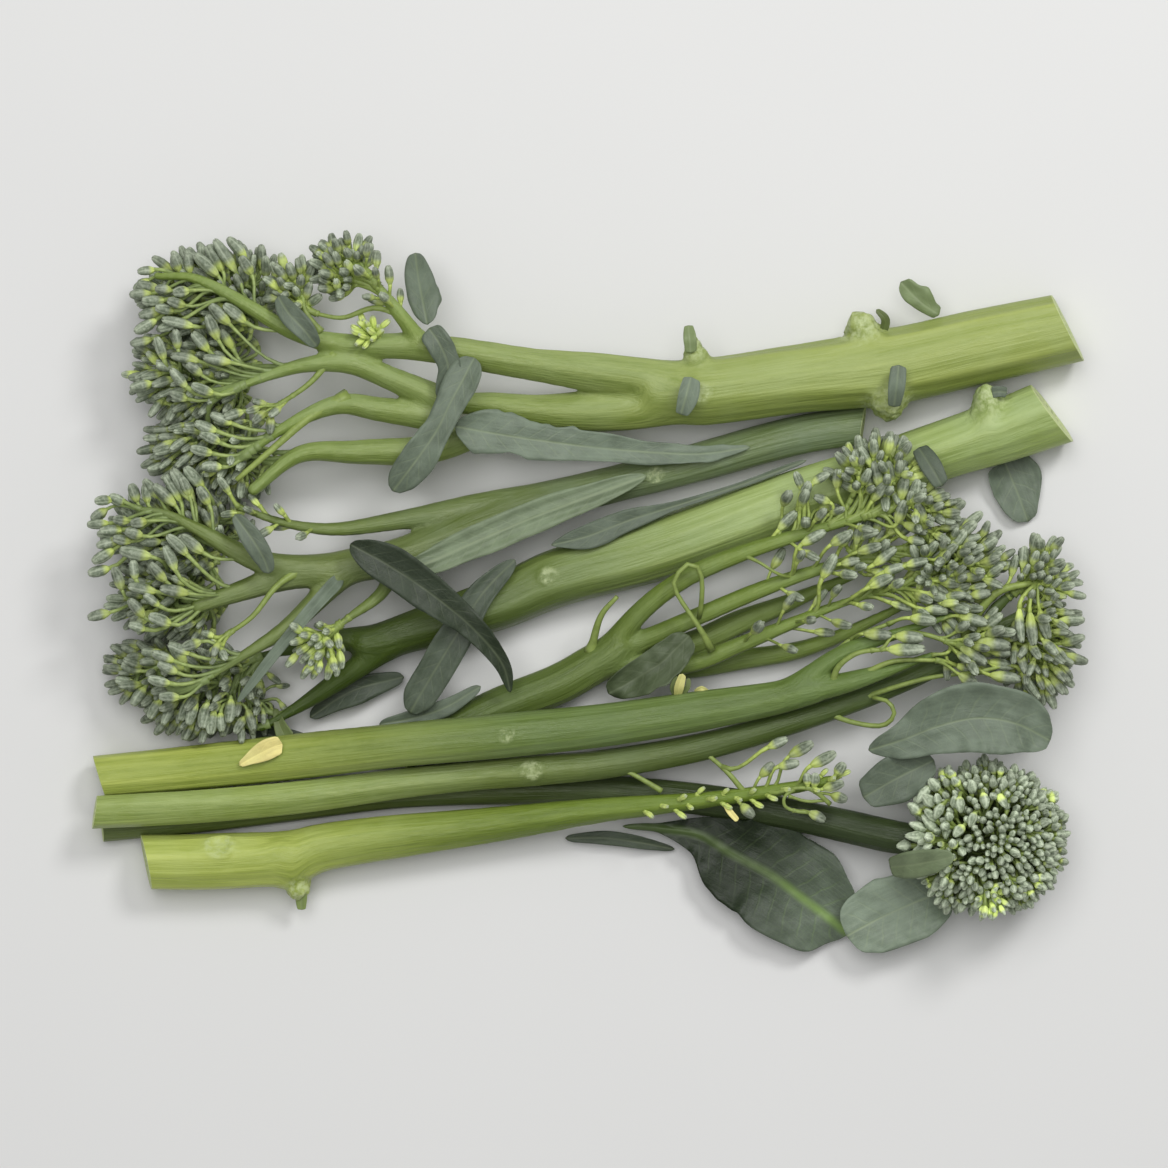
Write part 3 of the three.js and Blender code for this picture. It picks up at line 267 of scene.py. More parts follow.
# Each leaf: its spine of [x, y, z, half width], then its own form where it has one.
LEAVES = [
    {"spine": [[-30, 52, 17, 0.8], [-30.8, 56, 16, 2.6], [-31.8, 61, 13.5, 2.4],
     [-32.5, 66, 10, 0.6]], "tone": 0.25, "wave": 0.3, "ragged": 0.3},
    {"spine": [[-57.8, 57, 22.8, 0.6], [-55.8, 53.8, 24, 2.1], [-53, 50.8, 24.2, 2.1],
     [-50.5, 47.6, 22.5, 0.6]], "tone": 0.3, "open": True},
    {"spine": [[-29.6, 51.2, 19.6, 1.6], [-27.8, 48.6, 20, 2.3], [-26, 44, 18.9, 2.2],
     [-26.6, 41, 18, 1.9], [-27.2, 38, 17, 1.2]], "tone": 0.35, "ragged": 0.12},
    {"spine": [[-21, 45.6, 18.9, 1.9], [-23.2, 41.4, 19.4, 3.2], [-25.4, 37.4, 19.6, 2.5],
     [-28, 32.2, 19, 2.2], [-31.6, 27, 18.2, 3.4], [-34.4, 23.4, 17.2, 2.8],
     [-36.6, 20.6, 16, 1.5]], "tone": 0.15, "twist": 0.5, "wave": 0.3},
    {"spine": [[-24.8, 32.9, 14.4, 2.4], [-19, 31.8, 14.5, 4.1], [-8.7, 30.2, 14.2, 3.7],
     [6.5, 28.5, 11.4, 2.4], [21.7, 27.8, 9.6, 1.3], [31.2, 29.1, 9.3, 0.6]], "ragged": 0.12,
     "wave": 0.35, "full": 0.1, "rumple": 1.6, "tone": -0.05},
    {"spine": [[11.4, 23.6, 11.2, 0.9], [2.7, 20.4, 11.8, 2], [-8.7, 16.2, 12.4, 3.1],
     [-20.1, 11.4, 13.4, 3.2], [-29.6, 7.2, 14.4, 2.3], [-35.3, 5.3, 14.6, 0.7]], "full": 0.1,
     "pleats": 1.7, "tone": -0.08, "fresh": 0.22},
    {"spine": [[-44.5, 10.5, 18.6, 1.7], [-38, 7, 18.4, 3.7], [-30, 1.7, 17, 3.6],
     [-21.4, -5.4, 15, 2.2], [-15.8, -12.4, 12.5, 1.3], [-14.4, -17.6, 11, 0.6]], "tone": 1.1,
     "cup": 0.45, "wave": 0.3, "full": 0.1},
    {"spine": [[-13.5, 7.6, 11.7, 0.8], [-19.6, 1.3, 11.6, 2.3], [-25.7, -8.4, 11.4, 3.4],
     [-31.2, -17.5, 9.6, 3.2], [-33.6, -21.6, 8.8, 1.6]], "tone": 0.7, "pleats": 0.6},
    {"spine": [[-39.5, -23.8, 7.2, 0.6], [-33, -22.6, 7.4, 1.5], [-27, -20.6, 8.6, 1.7],
     [-20.1, -16.5, 9, 0.6]], "tone": 0.35},
    {"spine": [[-35, -14.8, 2.4, 0.7], [-44.8, -17.5, 3, 2.8], [-53, -22.6, 2.6, 0.7]],
     "tone": 0.9},
    {"spine": [[-66.5, -23.6, 2.6, 0.7], [-56, -27.6, 2.2, 2.6], [-46, -30, 1.8, 0.7]],
     "tone": 0.9},
    {"spine": [[-66, 16, 23, 0.6], [-63, 12, 23.6, 2.1], [-60.4, 7.6, 22.6, 1.8],
     [-59.6, 5, 21.4, 0.6]], "tone": 0.3, "open": True},
    {"spine": [[67.4, 54.4, 7.4, 1.4], [63.8, 56.8, 7.9, 2.0], [60, 60.6, 8.5, 0.8]], "fresh": 0.5,
     "ragged": 0.35, "wave": 0.5, "rumple": 2},
    {"spine": [[80.4, 26.6, 0.8, 3.6], [82.2, 22.4, 1, 5.7], [83.9, 18, 1, 3.6], [85, 15, 1, 0.9]],
     "ragged": 0.16, "wave": 0.35, "tone": 0.12},
    {"spine": [[63, 28.8, 14.4, 1.2], [65, 25.5, 16.6, 2.2], [67.3, 21.5, 17, 1.2]], "tone": 0.6,
     "open": True},
    {"spine": [[53.6, -28.5, 13.5, 0.7], [60, -26.4, 16, 2.7], [66.3, -23.9, 17.5, 4.7],
     [74, -22.3, 18, 6.2], [81, -23.3, 17.5, 6.2], [87.8, -26.6, 15.5, 2.2]], "wave": 0.45,
     "ragged": 0.08, "tone": 0.04, "rumple": 1.5},
    {"spine": [[66, -30.4, 13.4, 1.6], [59, -33.8, 13.4, 4.4], [52.6, -37.5, 12.4, 1.6]],
     "wave": 0.4, "tone": 0.4, "ragged": 0.15},
    {"spine": [[7, -43.4, 4.6, 0.6], [14, -43.8, 4.2, 0.8], [22, -45.2, 4.2, 3.6],
     [28.1, -48.8, 4.1, 8.1], [35.2, -52.6, 4.3, 10.3], [41.7, -57.4, 3.8, 10.1],
     [47.1, -61.5, 3, 6.9], [50.4, -64.2, 2, 2.4]], "cup": 0.12, "wave": 0.4, "ragged": 0.08,
     "tone": 1.3, "rib": 1.0, "full": 0, "rumple": 1.6, "tip_tone": 0.0},
    {"spine": [[69.8, -55.6, 5.2, 3], [64, -57.4, 6.6, 6.4], [57.2, -60.3, 7, 6.8],
     [52.2, -62.9, 6.7, 5.4], [49.8, -64.3, 6.4, 3.2]], "cup": 0.12, "wave": 0.4, "ragged": 0.08,
     "tone": -0.6, "rumple": 1.6},
    {"spine": [[57.6, -50.6, 14.6, 1.3], [61.4, -49.9, 19, 2.6], [65.4, -49, 22, 2.2],
     [69, -48, 23.9, 0.8]], "fresh": 0.3, "tone": 0.2, "open": True},
    {"spine": [[19.6, -6.8, 13, 2.2], [14.1, -12, 13, 4.6], [9, -15.2, 12, 3.8],
     [4.2, -17.8, 10.8, 1.2]], "tone": 0.95, "fresh": 0.15, "ragged": 0.2, "wave": 0.7,
     "rumple": 3.2},
    {"spine": [[19.8, 46.8, 15, 0.8], [19.6, 49.2, 15.4, 1.5], [19.4, 52, 14.2, 0.5]],
     "fresh": 0.6},
    {"spine": [[19.8, 42, 18.9, 1.1], [18.8, 38.3, 19.2, 2.4], [17.9, 35, 17.8, 1.2]],
     "ragged": 0.3, "tone": -0.1},
    {"spine": [[-54.3, -54.6, 6, 0.9], [-54.5, -57, 5.5, 1.4], [-54.5, -59.4, 4.5, 0.5]],
     "fresh": 1.0},
    {"spine": [[59.1, 44.4, 16.8, 1.3], [58.7, 40.5, 16.8, 1.6], [58.3, 36.6, 14.6, 0.9]],
     "tone": 0.2},
    {"spine": [[-4, -45.8, 2.2, 0.6], [4, -45.8, 2.2, 1.4], [11, -46.8, 1.6, 1.3],
     [17, -48, 1, 0.5]], "tone": 0.9, "full": 0},
    {"spine": [[42, 26.6, 8.6, 0.6], [28, 21.4, 9, 0.6], [16, 17.6, 9.6, 0.9], [8.4, 15.2, 10.4, 2],
     [0, 12, 10.8, 2.4], [-6.6, 10.4, 10.8, 0.8]], "tone": 0.45, "full": 0},
    {"spine": [[77.2, 39.4, 11, 0.9], [78.6, 39.6, 11.4, 1.5], [80, 39.4, 11, 0.8]], "tone": 0.4},
]
DARK_LEAVES = (7, 10, 11, 15, 18, 27)

# Buds that stand out, as [base x, base y, tip x, tip y, height].
HEAD_1_BUDS = [
    [-64.3, 64.6, -67.6, 68.3, 17], [-66, 61.8, -70, 67.8, 18], [-68.6, 62, -71.4, 66.8, 17.4],
    [-69.4, 61, -73.6, 65, 18.4], [-74.8, 61.6, -75.3, 65.2, 17.5], [-76.8, 61.8, -78, 65.2, 16.8],
    [-79, 61.6, -82, 63, 16.8], [-82.6, 60.6, -85.4, 58.6, 16.4],
    [-64, 52.2, -68, 55.4, 20.8, -53, 48.8, 19], [-67, 51.8, -70.6, 55.4, 21, -56, 46.8, 19.4],
    [-69.2, 48.8, -71.2, 53.4, 21, -58.5, 45.4, 19.6], [-73.8, 51.5, -79.6, 52.8, 20],
    [-71, 46.8, -74, 50.2, 20.6, -60, 44.4, 19.6], [-76.9, 47.2, -77.3, 50.8, 20],
    [-81, 53, -85, 50.6, 18.6, -70, 58.2, 19.6], [-82, 49.4, -86, 48.4, 16.8],
    [-79.6, 45.2, -81, 49.4, 18.6], [-72.8, 44.9, -78, 46, 20.4, -61, 43.4, 20],
    [-72.3, 42.2, -75, 44.4, 20.6, -61, 42.4, 20], [-66.6, 44.6, -71.8, 45.6, 21.8, -57, 44, 20],
    [-75.2, 40, -78, 43.4, 19.8, -62, 41.6, 19.8], [-70, 38.8, -74, 40.4, 21.2, -60.5, 41.4, 20],
    [-82, 41, -86, 40, 16.4], [-75, 37.8, -78, 38.8, 19.6, -62.5, 39.8, 19.4],
    [-64.5, 35.6, -68, 34.4, 19.6, -58.5, 36.5, 18.6],
    [-66.6, 33.2, -70.6, 35, 19.6, -57, 32.6, 18.6],
    [-69.6, 31.8, -73.6, 33.4, 19.2, -58.6, 31.4, 18.8],
    [-69, 29.6, -72.6, 31.4, 19, -60, 30.2, 18.8],
    [-70.4, 27.6, -74.4, 28.6, 18.8, -62, 28.4, 18.6],
    [-68.6, 25, -72.4, 25.2, 18.8, -63, 27, 18.4],
    [-79.4, 56.6, -83.6, 56.4, 18.8, -72, 58.8, 19.6], [-80.4, 58.6, -84.6, 59.6, 17],
    [-80, 54.6, -84.2, 53.6, 18.8, -71, 58.4, 19.6], [-77.6, 54.4, -81, 55, 19.6, -69, 57.6, 19.8],
    [-82, 57.8, -86, 57.6, 18, -74, 60.4, 19.4], [-81.4, 62.4, -84.6, 62, 17.6, -76, 61, 19],
    [-75.4, 55.4, -78.6, 56.4, 20.6, -66.5, 56.6, 20.4], [-78, 58.2, -81, 58.6, 20.2, -71, 59, 20],
    [-74.6, 58.2, -77.6, 57.8, 21, -66, 56.8, 20.6], [-76.6, 52.6, -80.4, 51, 19.4, -66, 56, 19.8],
    [-63, 61.2, -65, 64.6, 19.6, -61, 54.6, 20.4], [-66.8, 63, -68.2, 66.4, 18.8, -64, 56.4, 20.4],
    [-71, 64, -72, 67.4, 17.6, -68, 58.6, 20], [-72.6, 62.6, -75.4, 66, 17.4, -70, 59.4, 19.8]]
HEAD_2_OFFSET = (-8.0, -43.4)  # the second head's buds lie as the first one's do
HEAD_3_BUDS = [
    [-75.6, -18.6, -77.2, -22.8, 10.5], [-74.2, -19, -75.6, -23.6, 11],
    [-72, -19.4, -73, -24.2, 11], [-71, -20.6, -71.4, -25.4, 10.4], [-69.6, -21.4, -69.4, -25, 10],
    [-67.6, -18.8, -68, -23.2, 10.6], [-84, -16.6, -86.4, -20, 9.6],
    [-81, -18.8, -83.2, -22.4, 9.4], [-80, -10.4, -84.4, -9.8, 11], [-76, -12.4, -78.8, -8.8, 12],
    [-76.4, -13.2, -80, -11.8, 12], [-73.8, -15.6, -78, -16, 11.6],
    [-84.6, -13.6, -88.4, -12.4, 10], [-86, -16, -89.6, -15.2, 9],
    [-78.6, -19.4, -80.6, -23.6, 9.6]]
STALK_4_BUDS = [
    [42.6, 21.9, 45.9, 23.9, 17, 39.2, 12.9, 14.6], [46.2, 18.4, 43.2, 19.5, 16.6, 44.2, 15.1, 15],
    [47.4, 20.9, 47.5, 24.6, 17.2, 48.4, 16.2, 15.4],
    [51.4, 23.2, 50.9, 28.2, 17.4, 50.3, 16.5, 15.6], [53.9, 20.4, 53.0, 24.2, 17, 53.1, 17, 16],
    [55.9, 20.6, 54.4, 26, 18, 57, 17, 16], [57.6, 21, 57, 26, 17.6, 58, 17.6, 16],
    [58.6, 14.3, 60.1, 18.6, 18.4, 52.3, 16, 15.8], [63.7, 14, 62.5, 18, 18.4, 58, 17, 16],
    [40.6, 10.4, 45, 12.9, 16.6, 37, 5.7, 12.6], [46.2, 10.4, 49.8, 12.6, 17, 41, 6, 12.8],
    [51.1, 9, 55.6, 10.3, 17.4, 46, 7.4, 13], [54.2, 6.5, 58.4, 9.7, 17.2, 48, 4, 13],
    [44.5, 4, 47, 8.4, 16.8, 42.6, -2, 12], [48.1, 6.8, 51.6, 7.6, 16.4, 44, 2.6, 12.6],
    [53.4, 2.4, 57.7, 4.4, 17, 47, -0.6, 12.2], [60.3, 6.5, 64.4, 7.5, 17.6, 54, 4, 13],
    [60.6, 11.5, 63.8, 10.9, 17.6, 56, 14, 15], [66.7, 7.9, 69.9, 10.4, 18, 60, 7, 14],
    [66.9, 3.5, 70.4, 2.9, 17.4, 61, 3, 13], [64.2, 1.3, 68.1, 0.2, 17.2, 58, 1.5, 13],
    [63.9, -1.8, 68.2, -2.2, 16.8, 55, 1, 12.8], [59.4, 18.6, 60.2, 23.4, 18],
    [61.4, 18, 62.6, 22.6, 17.8], [68.6, 9.6, 71.6, 13, 17.2],
    [56.2, 5.2, 60, 6.4, 16.4, 50, 1, 12.4], [71.4, 6.4, 75, 8.6, 17], [70.6, 12, 73.6, 14.6, 16.4],
    [74.4, 9.4, 77.6, 11.6, 16], [72.6, 0.8, 76.4, 1.4, 16.4], [71, 4, 75, 4.6, 16.6]]
STALK_5_BUDS = [
    [61, -3.4, 65.8, -4, 18.4], [52.3, -6.4, 57.4, -6.6, 18.4], [58.2, -6.8, 63.4, -7.2, 18.8],
    [56.8, -9.3, 63.6, -9.2, 18.4], [73.6, -8, 79.8, -8.7, 18.6], [76.2, -14.2, 82, -15, 16.6],
    [70.4, -14, 73.8, -16.2, 16.8], [70.5, -8.8, 75.4, -12, 17.4], [70.4, -3, 75.6, -4.4, 17.6]]
STALK_6_BUDS = [
    [79.7, -1.8, 79.9, -7.6, 18.6], [81.7, -1.4, 82.2, -7.8, 19], [83.7, -2.2, 84.3, -8.4, 18.8],
    [85.6, -1.8, 87.2, -7.2, 18], [82.4, -13.4, 85.6, -18.6, 15.6], [91, 1.4, 94.6, 0.6, 14.6],
    [82.8, 5.6, 83, 10, 15.6], [85.4, 5.2, 87, 9, 15.6], [87.2, 4, 90.6, 7, 15],
    [80.4, 4.2, 81.4, 8.4, 15.4]]
# Each loose head: the limbs that end in it, its lumps as [x, y, z, three half widths], the place
# that its buds point away from, its inner edge as [y, x] points and its own buds.
LOOSE_HEADS = {
    "head_1": {
        "limbs": [("stalk_1", "upper"), ("stalk_1", "middle"), ("stalk_1", "low"),
                  ("stalk_1", "under")],
        "anchor": (-50, 44, 9), "branches": 15, "heroes": HEAD_1_BUDS, "shift": (0, 0),
        "edge": [[18, -60], [24, -63], [30, -65.5], [38, -67], [46, -66.5], [52, -64], [57, -61],
                 [68, -59]],
        "lumps": [[-69.5, 57.5, 9.6, 13, 7, 6.4], [-70.5, 43.5, 9.6, 13.5, 8.5, 6.8],
                  [-67, 29.5, 9.2, 14, 7.5, 6.2]]},
    "head_2": {
        "limbs": [("stalk_2", "upper"), ("stalk_2", "stem"), ("stalk_2", "lower")],
        "anchor": (-56, 2, 8), "branches": 15, "heroes": HEAD_1_BUDS, "shift": HEAD_2_OFFSET,
        "edge": [[-18, -66], [-12, -70], [-6, -73], [2, -74.5], [8, -72], [14, -68], [24, -65]],
        "lumps": [[-75.5, 12.5, 9, 13, 6.5, 6.4], [-74, 1, 9, 13.5, 7, 6.4]]},
    "head_3": {
        "limbs": [("stalk_3", "upper"), ("stalk_3", "lower"), ("stalk_2", "lower")],
        "anchor": (-62, -8, 5), "branches": 12, "heroes": HEAD_3_BUDS, "shift": (0, 0),
        "brightest": 0.4, "tints": (0.86, 0.96),
        "edge": [[-30, -56], [-20, -62], [-12, -66], [-6, -70]],
        "lumps": [[-70, -17.8, 6.4, 12.5, 6.8, 4], [-83, -13.5, 6.2, 6, 5, 4]]},
}
# Thin stems that stray between the limbs, as [x, y, z, radius] points.
THIN_STEMS = {
    "stalk_1": [
        [[-47.5, 46.5, 17.5, 0.8], [-52, 41, 18.4, 0.55], [-58.5, 36.5, 18, 0.45]],
        [[-45, 38.5, 16, 1.1], [-52, 34.6, 18, 0.9], [-58.5, 29, 18.6, 0.7], [-66, 22.6, 18, 0.5]],
        [[-34.5, 53.6, 19, 0.6], [-40, 55, 19.6, 0.55], [-46, 53.2, 18.6, 0.45],
         [-51, 54, 18, 0.4]],
        [[-50, 50.5, 19, 0.6], [-53, 54.6, 19.6, 0.5], [-53.4, 58, 19, 0.4]]],
    "stalk_2": [
        [[-54, 5.8, 15, 0.9], [-58.4, 2.6, 18, 0.6], [-63, -3.2, 18.6, 0.5], [-68.5, -7, 18, 0.45]],
        [[-52.6, -1.6, 14, 0.8], [-58, -9.5, 17, 0.6], [-63.6, -16, 15.6, 0.5]]],
    "stalk_4": [
        [[23.8, -9.5, 12, 0.6], [21.7, -5.7, 14.6, 0.5], [17.9, 0, 15.5, 0.45],
         [16.5, 2.9, 16, 0.45], [17.9, 5.7, 16.4, 0.5], [20.1, 7, 16.4, 0.5],
         [21.7, 4.8, 15.6, 0.45], [21.9, 0, 13.6, 0.5], [21.5, -3.4, 11, 0.5]],
        [[0.8, -10, 7, 0.9], [2.9, -2.9, 11, 0.6], [5.9, 0.6, 12.6, 0.4]],
        [[29.3, 8.7, 13.2, 0.5], [32.6, 7.2, 15.4, 0.32], [36.4, 4.9, 15, 0.3],
         [39.6, 4.2, 12, 0.4]]],
    "stalk_5": [
        [[46.7, -16.6, 14.2, 0.8], [47.5, -12.9, 16.5, 0.6], [51.1, -10.1, 17.8, 0.5],
         [56.6, -9.3, 18.2, 0.45]],
        [[55, -7.6, 16, 0.6], [62, -6.2, 16.8, 0.5], [70, -8.4, 17, 0.45]],
        [[44, -13.4, 14.4, 0.7], [50, -7.6, 15, 0.5], [57, -4.6, 16, 0.4]],
        [[50, -15.4, 14.4, 0.7], [58, -11.6, 16.6, 0.5], [66, -11.4, 17, 0.4]]],
    "stalk_6": [
        [[70, -11, 10.6, 1.1], [74, -3, 14, 0.9], [78, 1.6, 16, 0.8], [84.4, 3.2, 16.4, 0.6]],
        [[50.5, -19.6, 9, 0.7], [58, -16.8, 12, 0.5], [66, -14.6, 14, 0.45],
         [73, -13.8, 15.4, 0.4]],
        [[45.2, -21, 8.6, 0.6], [49.6, -23, 10.6, 0.5], [56.6, -23.8, 12, 0.5],
         [58.5, -21.7, 13, 0.45], [57.4, -19.4, 13, 0.45], [54.5, -18.6, 11.6, 0.4]]],
    "stalk_8": [
        [[5.9, -31.7, 10, 0.5], [10, -33.8, 10.4, 0.45], [14.4, -36.4, 10, 0.6]],
        [[22.4, -28.9, 10, 0.4], [26.6, -32.5, 11.4, 0.5], [30, -36.4, 11, 0.6]],
        [[34.2, -36.5, 11, 0.5], [36.2, -36.6, 12.8, 0.4], [39.1, -35.8, 13.8, 0.38],
         [41.8, -35.7, 14, 0.38], [43.9, -36.7, 13.8, 0.42], [46.3, -38.8, 12.6, 0.5]],
        [[39.4, -35.9, 13.8, 0.35], [37.6, -37.4, 14, 0.33], [37.7, -39.1, 13.6, 0.33],
         [39.4, -40, 13.2, 0.35], [42.1, -40.4, 12.8, 0.35]],
        [[38.4, -37.2, 13.8, 0.3], [41.8, -38.2, 13.4, 0.3], [45.1, -38.1, 12.8, 0.35]]],
}
# Petals and other slips: name, skin, the stalk that each lies on, spine of [x, y, z, half width].
SLIPS = [
    ("petal_1", "petal", "stalk_5", [[-65.9, -31.4, 12.3, 0.4], [-63.5, -30, 12.8, 1.2],
        [-61.4, -28.9, 13.3, 2.1], [-59.1, -27.8, 13.6, 2.2], [-57.6, -27.4, 13.6, 1.5]]),
    ("petal_2", "young petal", "stalk_4", [[17.3, -18.3, 13.4, 0.5], [17.6, -16.4, 15, 1.3],
        [18.3, -14, 15.4, 0.5]]),
    ("petal_3", "petal", "stalk_8", [[26.4, -38.8, 11.6, 0.4], [27.4, -40.4, 12.2, 0.8],
        [28.8, -42, 12, 0.4]]),
    ("petal_4", "young petal", "stalk_4", [[20.7, -17.6, 12.6, 0.4], [21.9, -16.8, 13.4, 0.6],
        [23.2, -17.6, 12.8, 0.3]]),
    ("sepal_1", "bract", "stalk_4", [[17.1, -18.4, 13.2, 0.4], [16.5, -16.4, 14.4, 0.8],
        [17.2, -14.4, 14.8, 0.3]]),
    ("sepal_2", "bract", "stalk_4", [[17.6, -18.3, 13.2, 0.4], [19.2, -16.6, 14.4, 0.8],
        [19.4, -14.8, 14.6, 0.3]]),
    ("bract_1", "bract", "stalk_6", [[-57, -26.8, 8.6, 1.9], [-58.4, -24, 8, 1.3],
        [-59.4, -20.8, 7, 0.4]]),
    ("bract_2", "bract", "stalk_1", [[56.6, 50.8, 9.6, 0.6], [56.9, 53.4, 10.8, 1.0],
        [55.2, 55.2, 11, 0.3]]),
    ("leaf_stalk_1", "grey", "stalk_2", [[-46.4, 4.4, 14, 1.5], [-50, 0.2, 17.4, 1.3],
        [-54.5, -5, 18.6, 1.1], [-61, -13, 17.4, 0.9], [-66, -19.4, 15, 0.5]]),
]
STALK_8_BUDS = [
    [38.4, -29.6, 42.8, -27.1, 14.8], [42.4, -31.5, 47.1, -29, 15], [47.3, -33.3, 48.9, -31, 14],
    [42, -35.2, 41.8, -32.9, 14.6], [43.3, -35.5, 43.4, -32.9, 14.6],
    [44.8, -35.9, 48.7, -34.7, 14.4], [46.4, -36.9, 49.4, -37.9, 13.8],
    [42.2, -40.3, 45.3, -41.9, 12.8], [34.4, -28, 38, -26.4, 14.2], [36.4, -31.6, 40.2, -30.8, 14],
    [33, -33.6, 35.4, -31, 13], [29.4, -38.8, 31.8, -41.2, 11.6]]
HEAD_7_BUDS = [
    [66.2, -33.2, 66.4, -29.6, 14], [65.2, -35.2, 62.6, -38.4, 15], [68.4, -41.6, 67.8, -45, 19],
    [69.8, -39.4, 69.4, -37, 19], [64.6, -43.6, 61.2, -42.2, 16], [64.6, -45, 60.4, -44.6, 16.6],
    [65.2, -46.4, 61.8, -47.6, 17], [66.6, -44, 63.6, -40.8, 16.6],
    [73.2, -39.9, 72.2, -42.6, 21.4], [74.6, -36.2, 75.2, -39.2, 21], [77.6, -36.4, 79, -39, 20.8],
    [70.4, -37, 70.6, -40, 20], [67.4, -38.4, 65.8, -41.2, 18.6], [75, -55.6, 73.4, -58, 18.4],
    [76.6, -55.4, 77.8, -58, 18.4], [75.8, -56.8, 75.6, -59.4, 17], [63.4, -40.6, 61, -38.6, 15.4],
    [64.2, -48.4, 61, -49.8, 16.4], [65.4, -50.4, 62.6, -52.6, 15.8],
    [67.6, -52.2, 65.6, -55, 15.6], [67.2, -47.2, 64.4, -49, 18.4], [66.4, -41.8, 64, -39.6, 17.8],
    [71.2, -42.4, 69.2, -44.4, 20.8], [72.8, -36.6, 72.6, -34, 19]]


# ---- numbers and curves


def unit(vectors):
    """Vectors at length one."""
    size = np.linalg.norm(vectors, axis=-1, keepdims=True)
    return vectors / np.maximum(size, 1e-9)


def ease(low, high, x):
    """0 below low, 1 above high and a soft step between."""
    t = np.clip((x - low) / (high - low), 0, 1)
    return t * t * (3 - 2 * t)


def dot(a, b):
    """Row by row product of two lists of vectors."""
    return (a * b).sum(-1)


def sunflower(count, turn=0.0):
    """Directions spread evenly over a ball, on turns of the golden angle."""
    for i in range(count):
        height = 1 - 2 * (i + 0.5) / count
        flat = math.sqrt(1 - height * height)
        angle = GOLDEN_ANGLE * i + turn
        yield np.array((flat * math.cos(angle), flat * math.sin(angle), height))


def between(a, b, share):
    """A colour on the way from a to b."""
    return tuple(p + (q - p) * share for p, q in zip(a, b))


def shaded(colour, factor, plus=0.0):
    """A plain colour times a factor, made paler by an even part."""
    return (*(min(1, c * factor + plus) for c in colour[:3]), 1)


def soft_noise(seed, *places):
    """Smooth random values around 0 at places given as lists of coordinates in mm."""
    rng = np.random.default_rng(seed)
    total = 0.0
    for wavelength, size in ((13, 0.45), (8, 0.35), (5.2, 0.3), (3.4, 0.2), (2.2, 0.14)):
        for _ in range(3):
            turn = rng.normal(size=len(places))
            turn = turn / np.linalg.norm(turn) * 2 * math.pi / wavelength
            phase = rng.uniform(0, 2 * math.pi)
            total = total + 0.6 * size * np.sin(sum(a * b for a, b in zip(turn, places)) + phase)
    return total


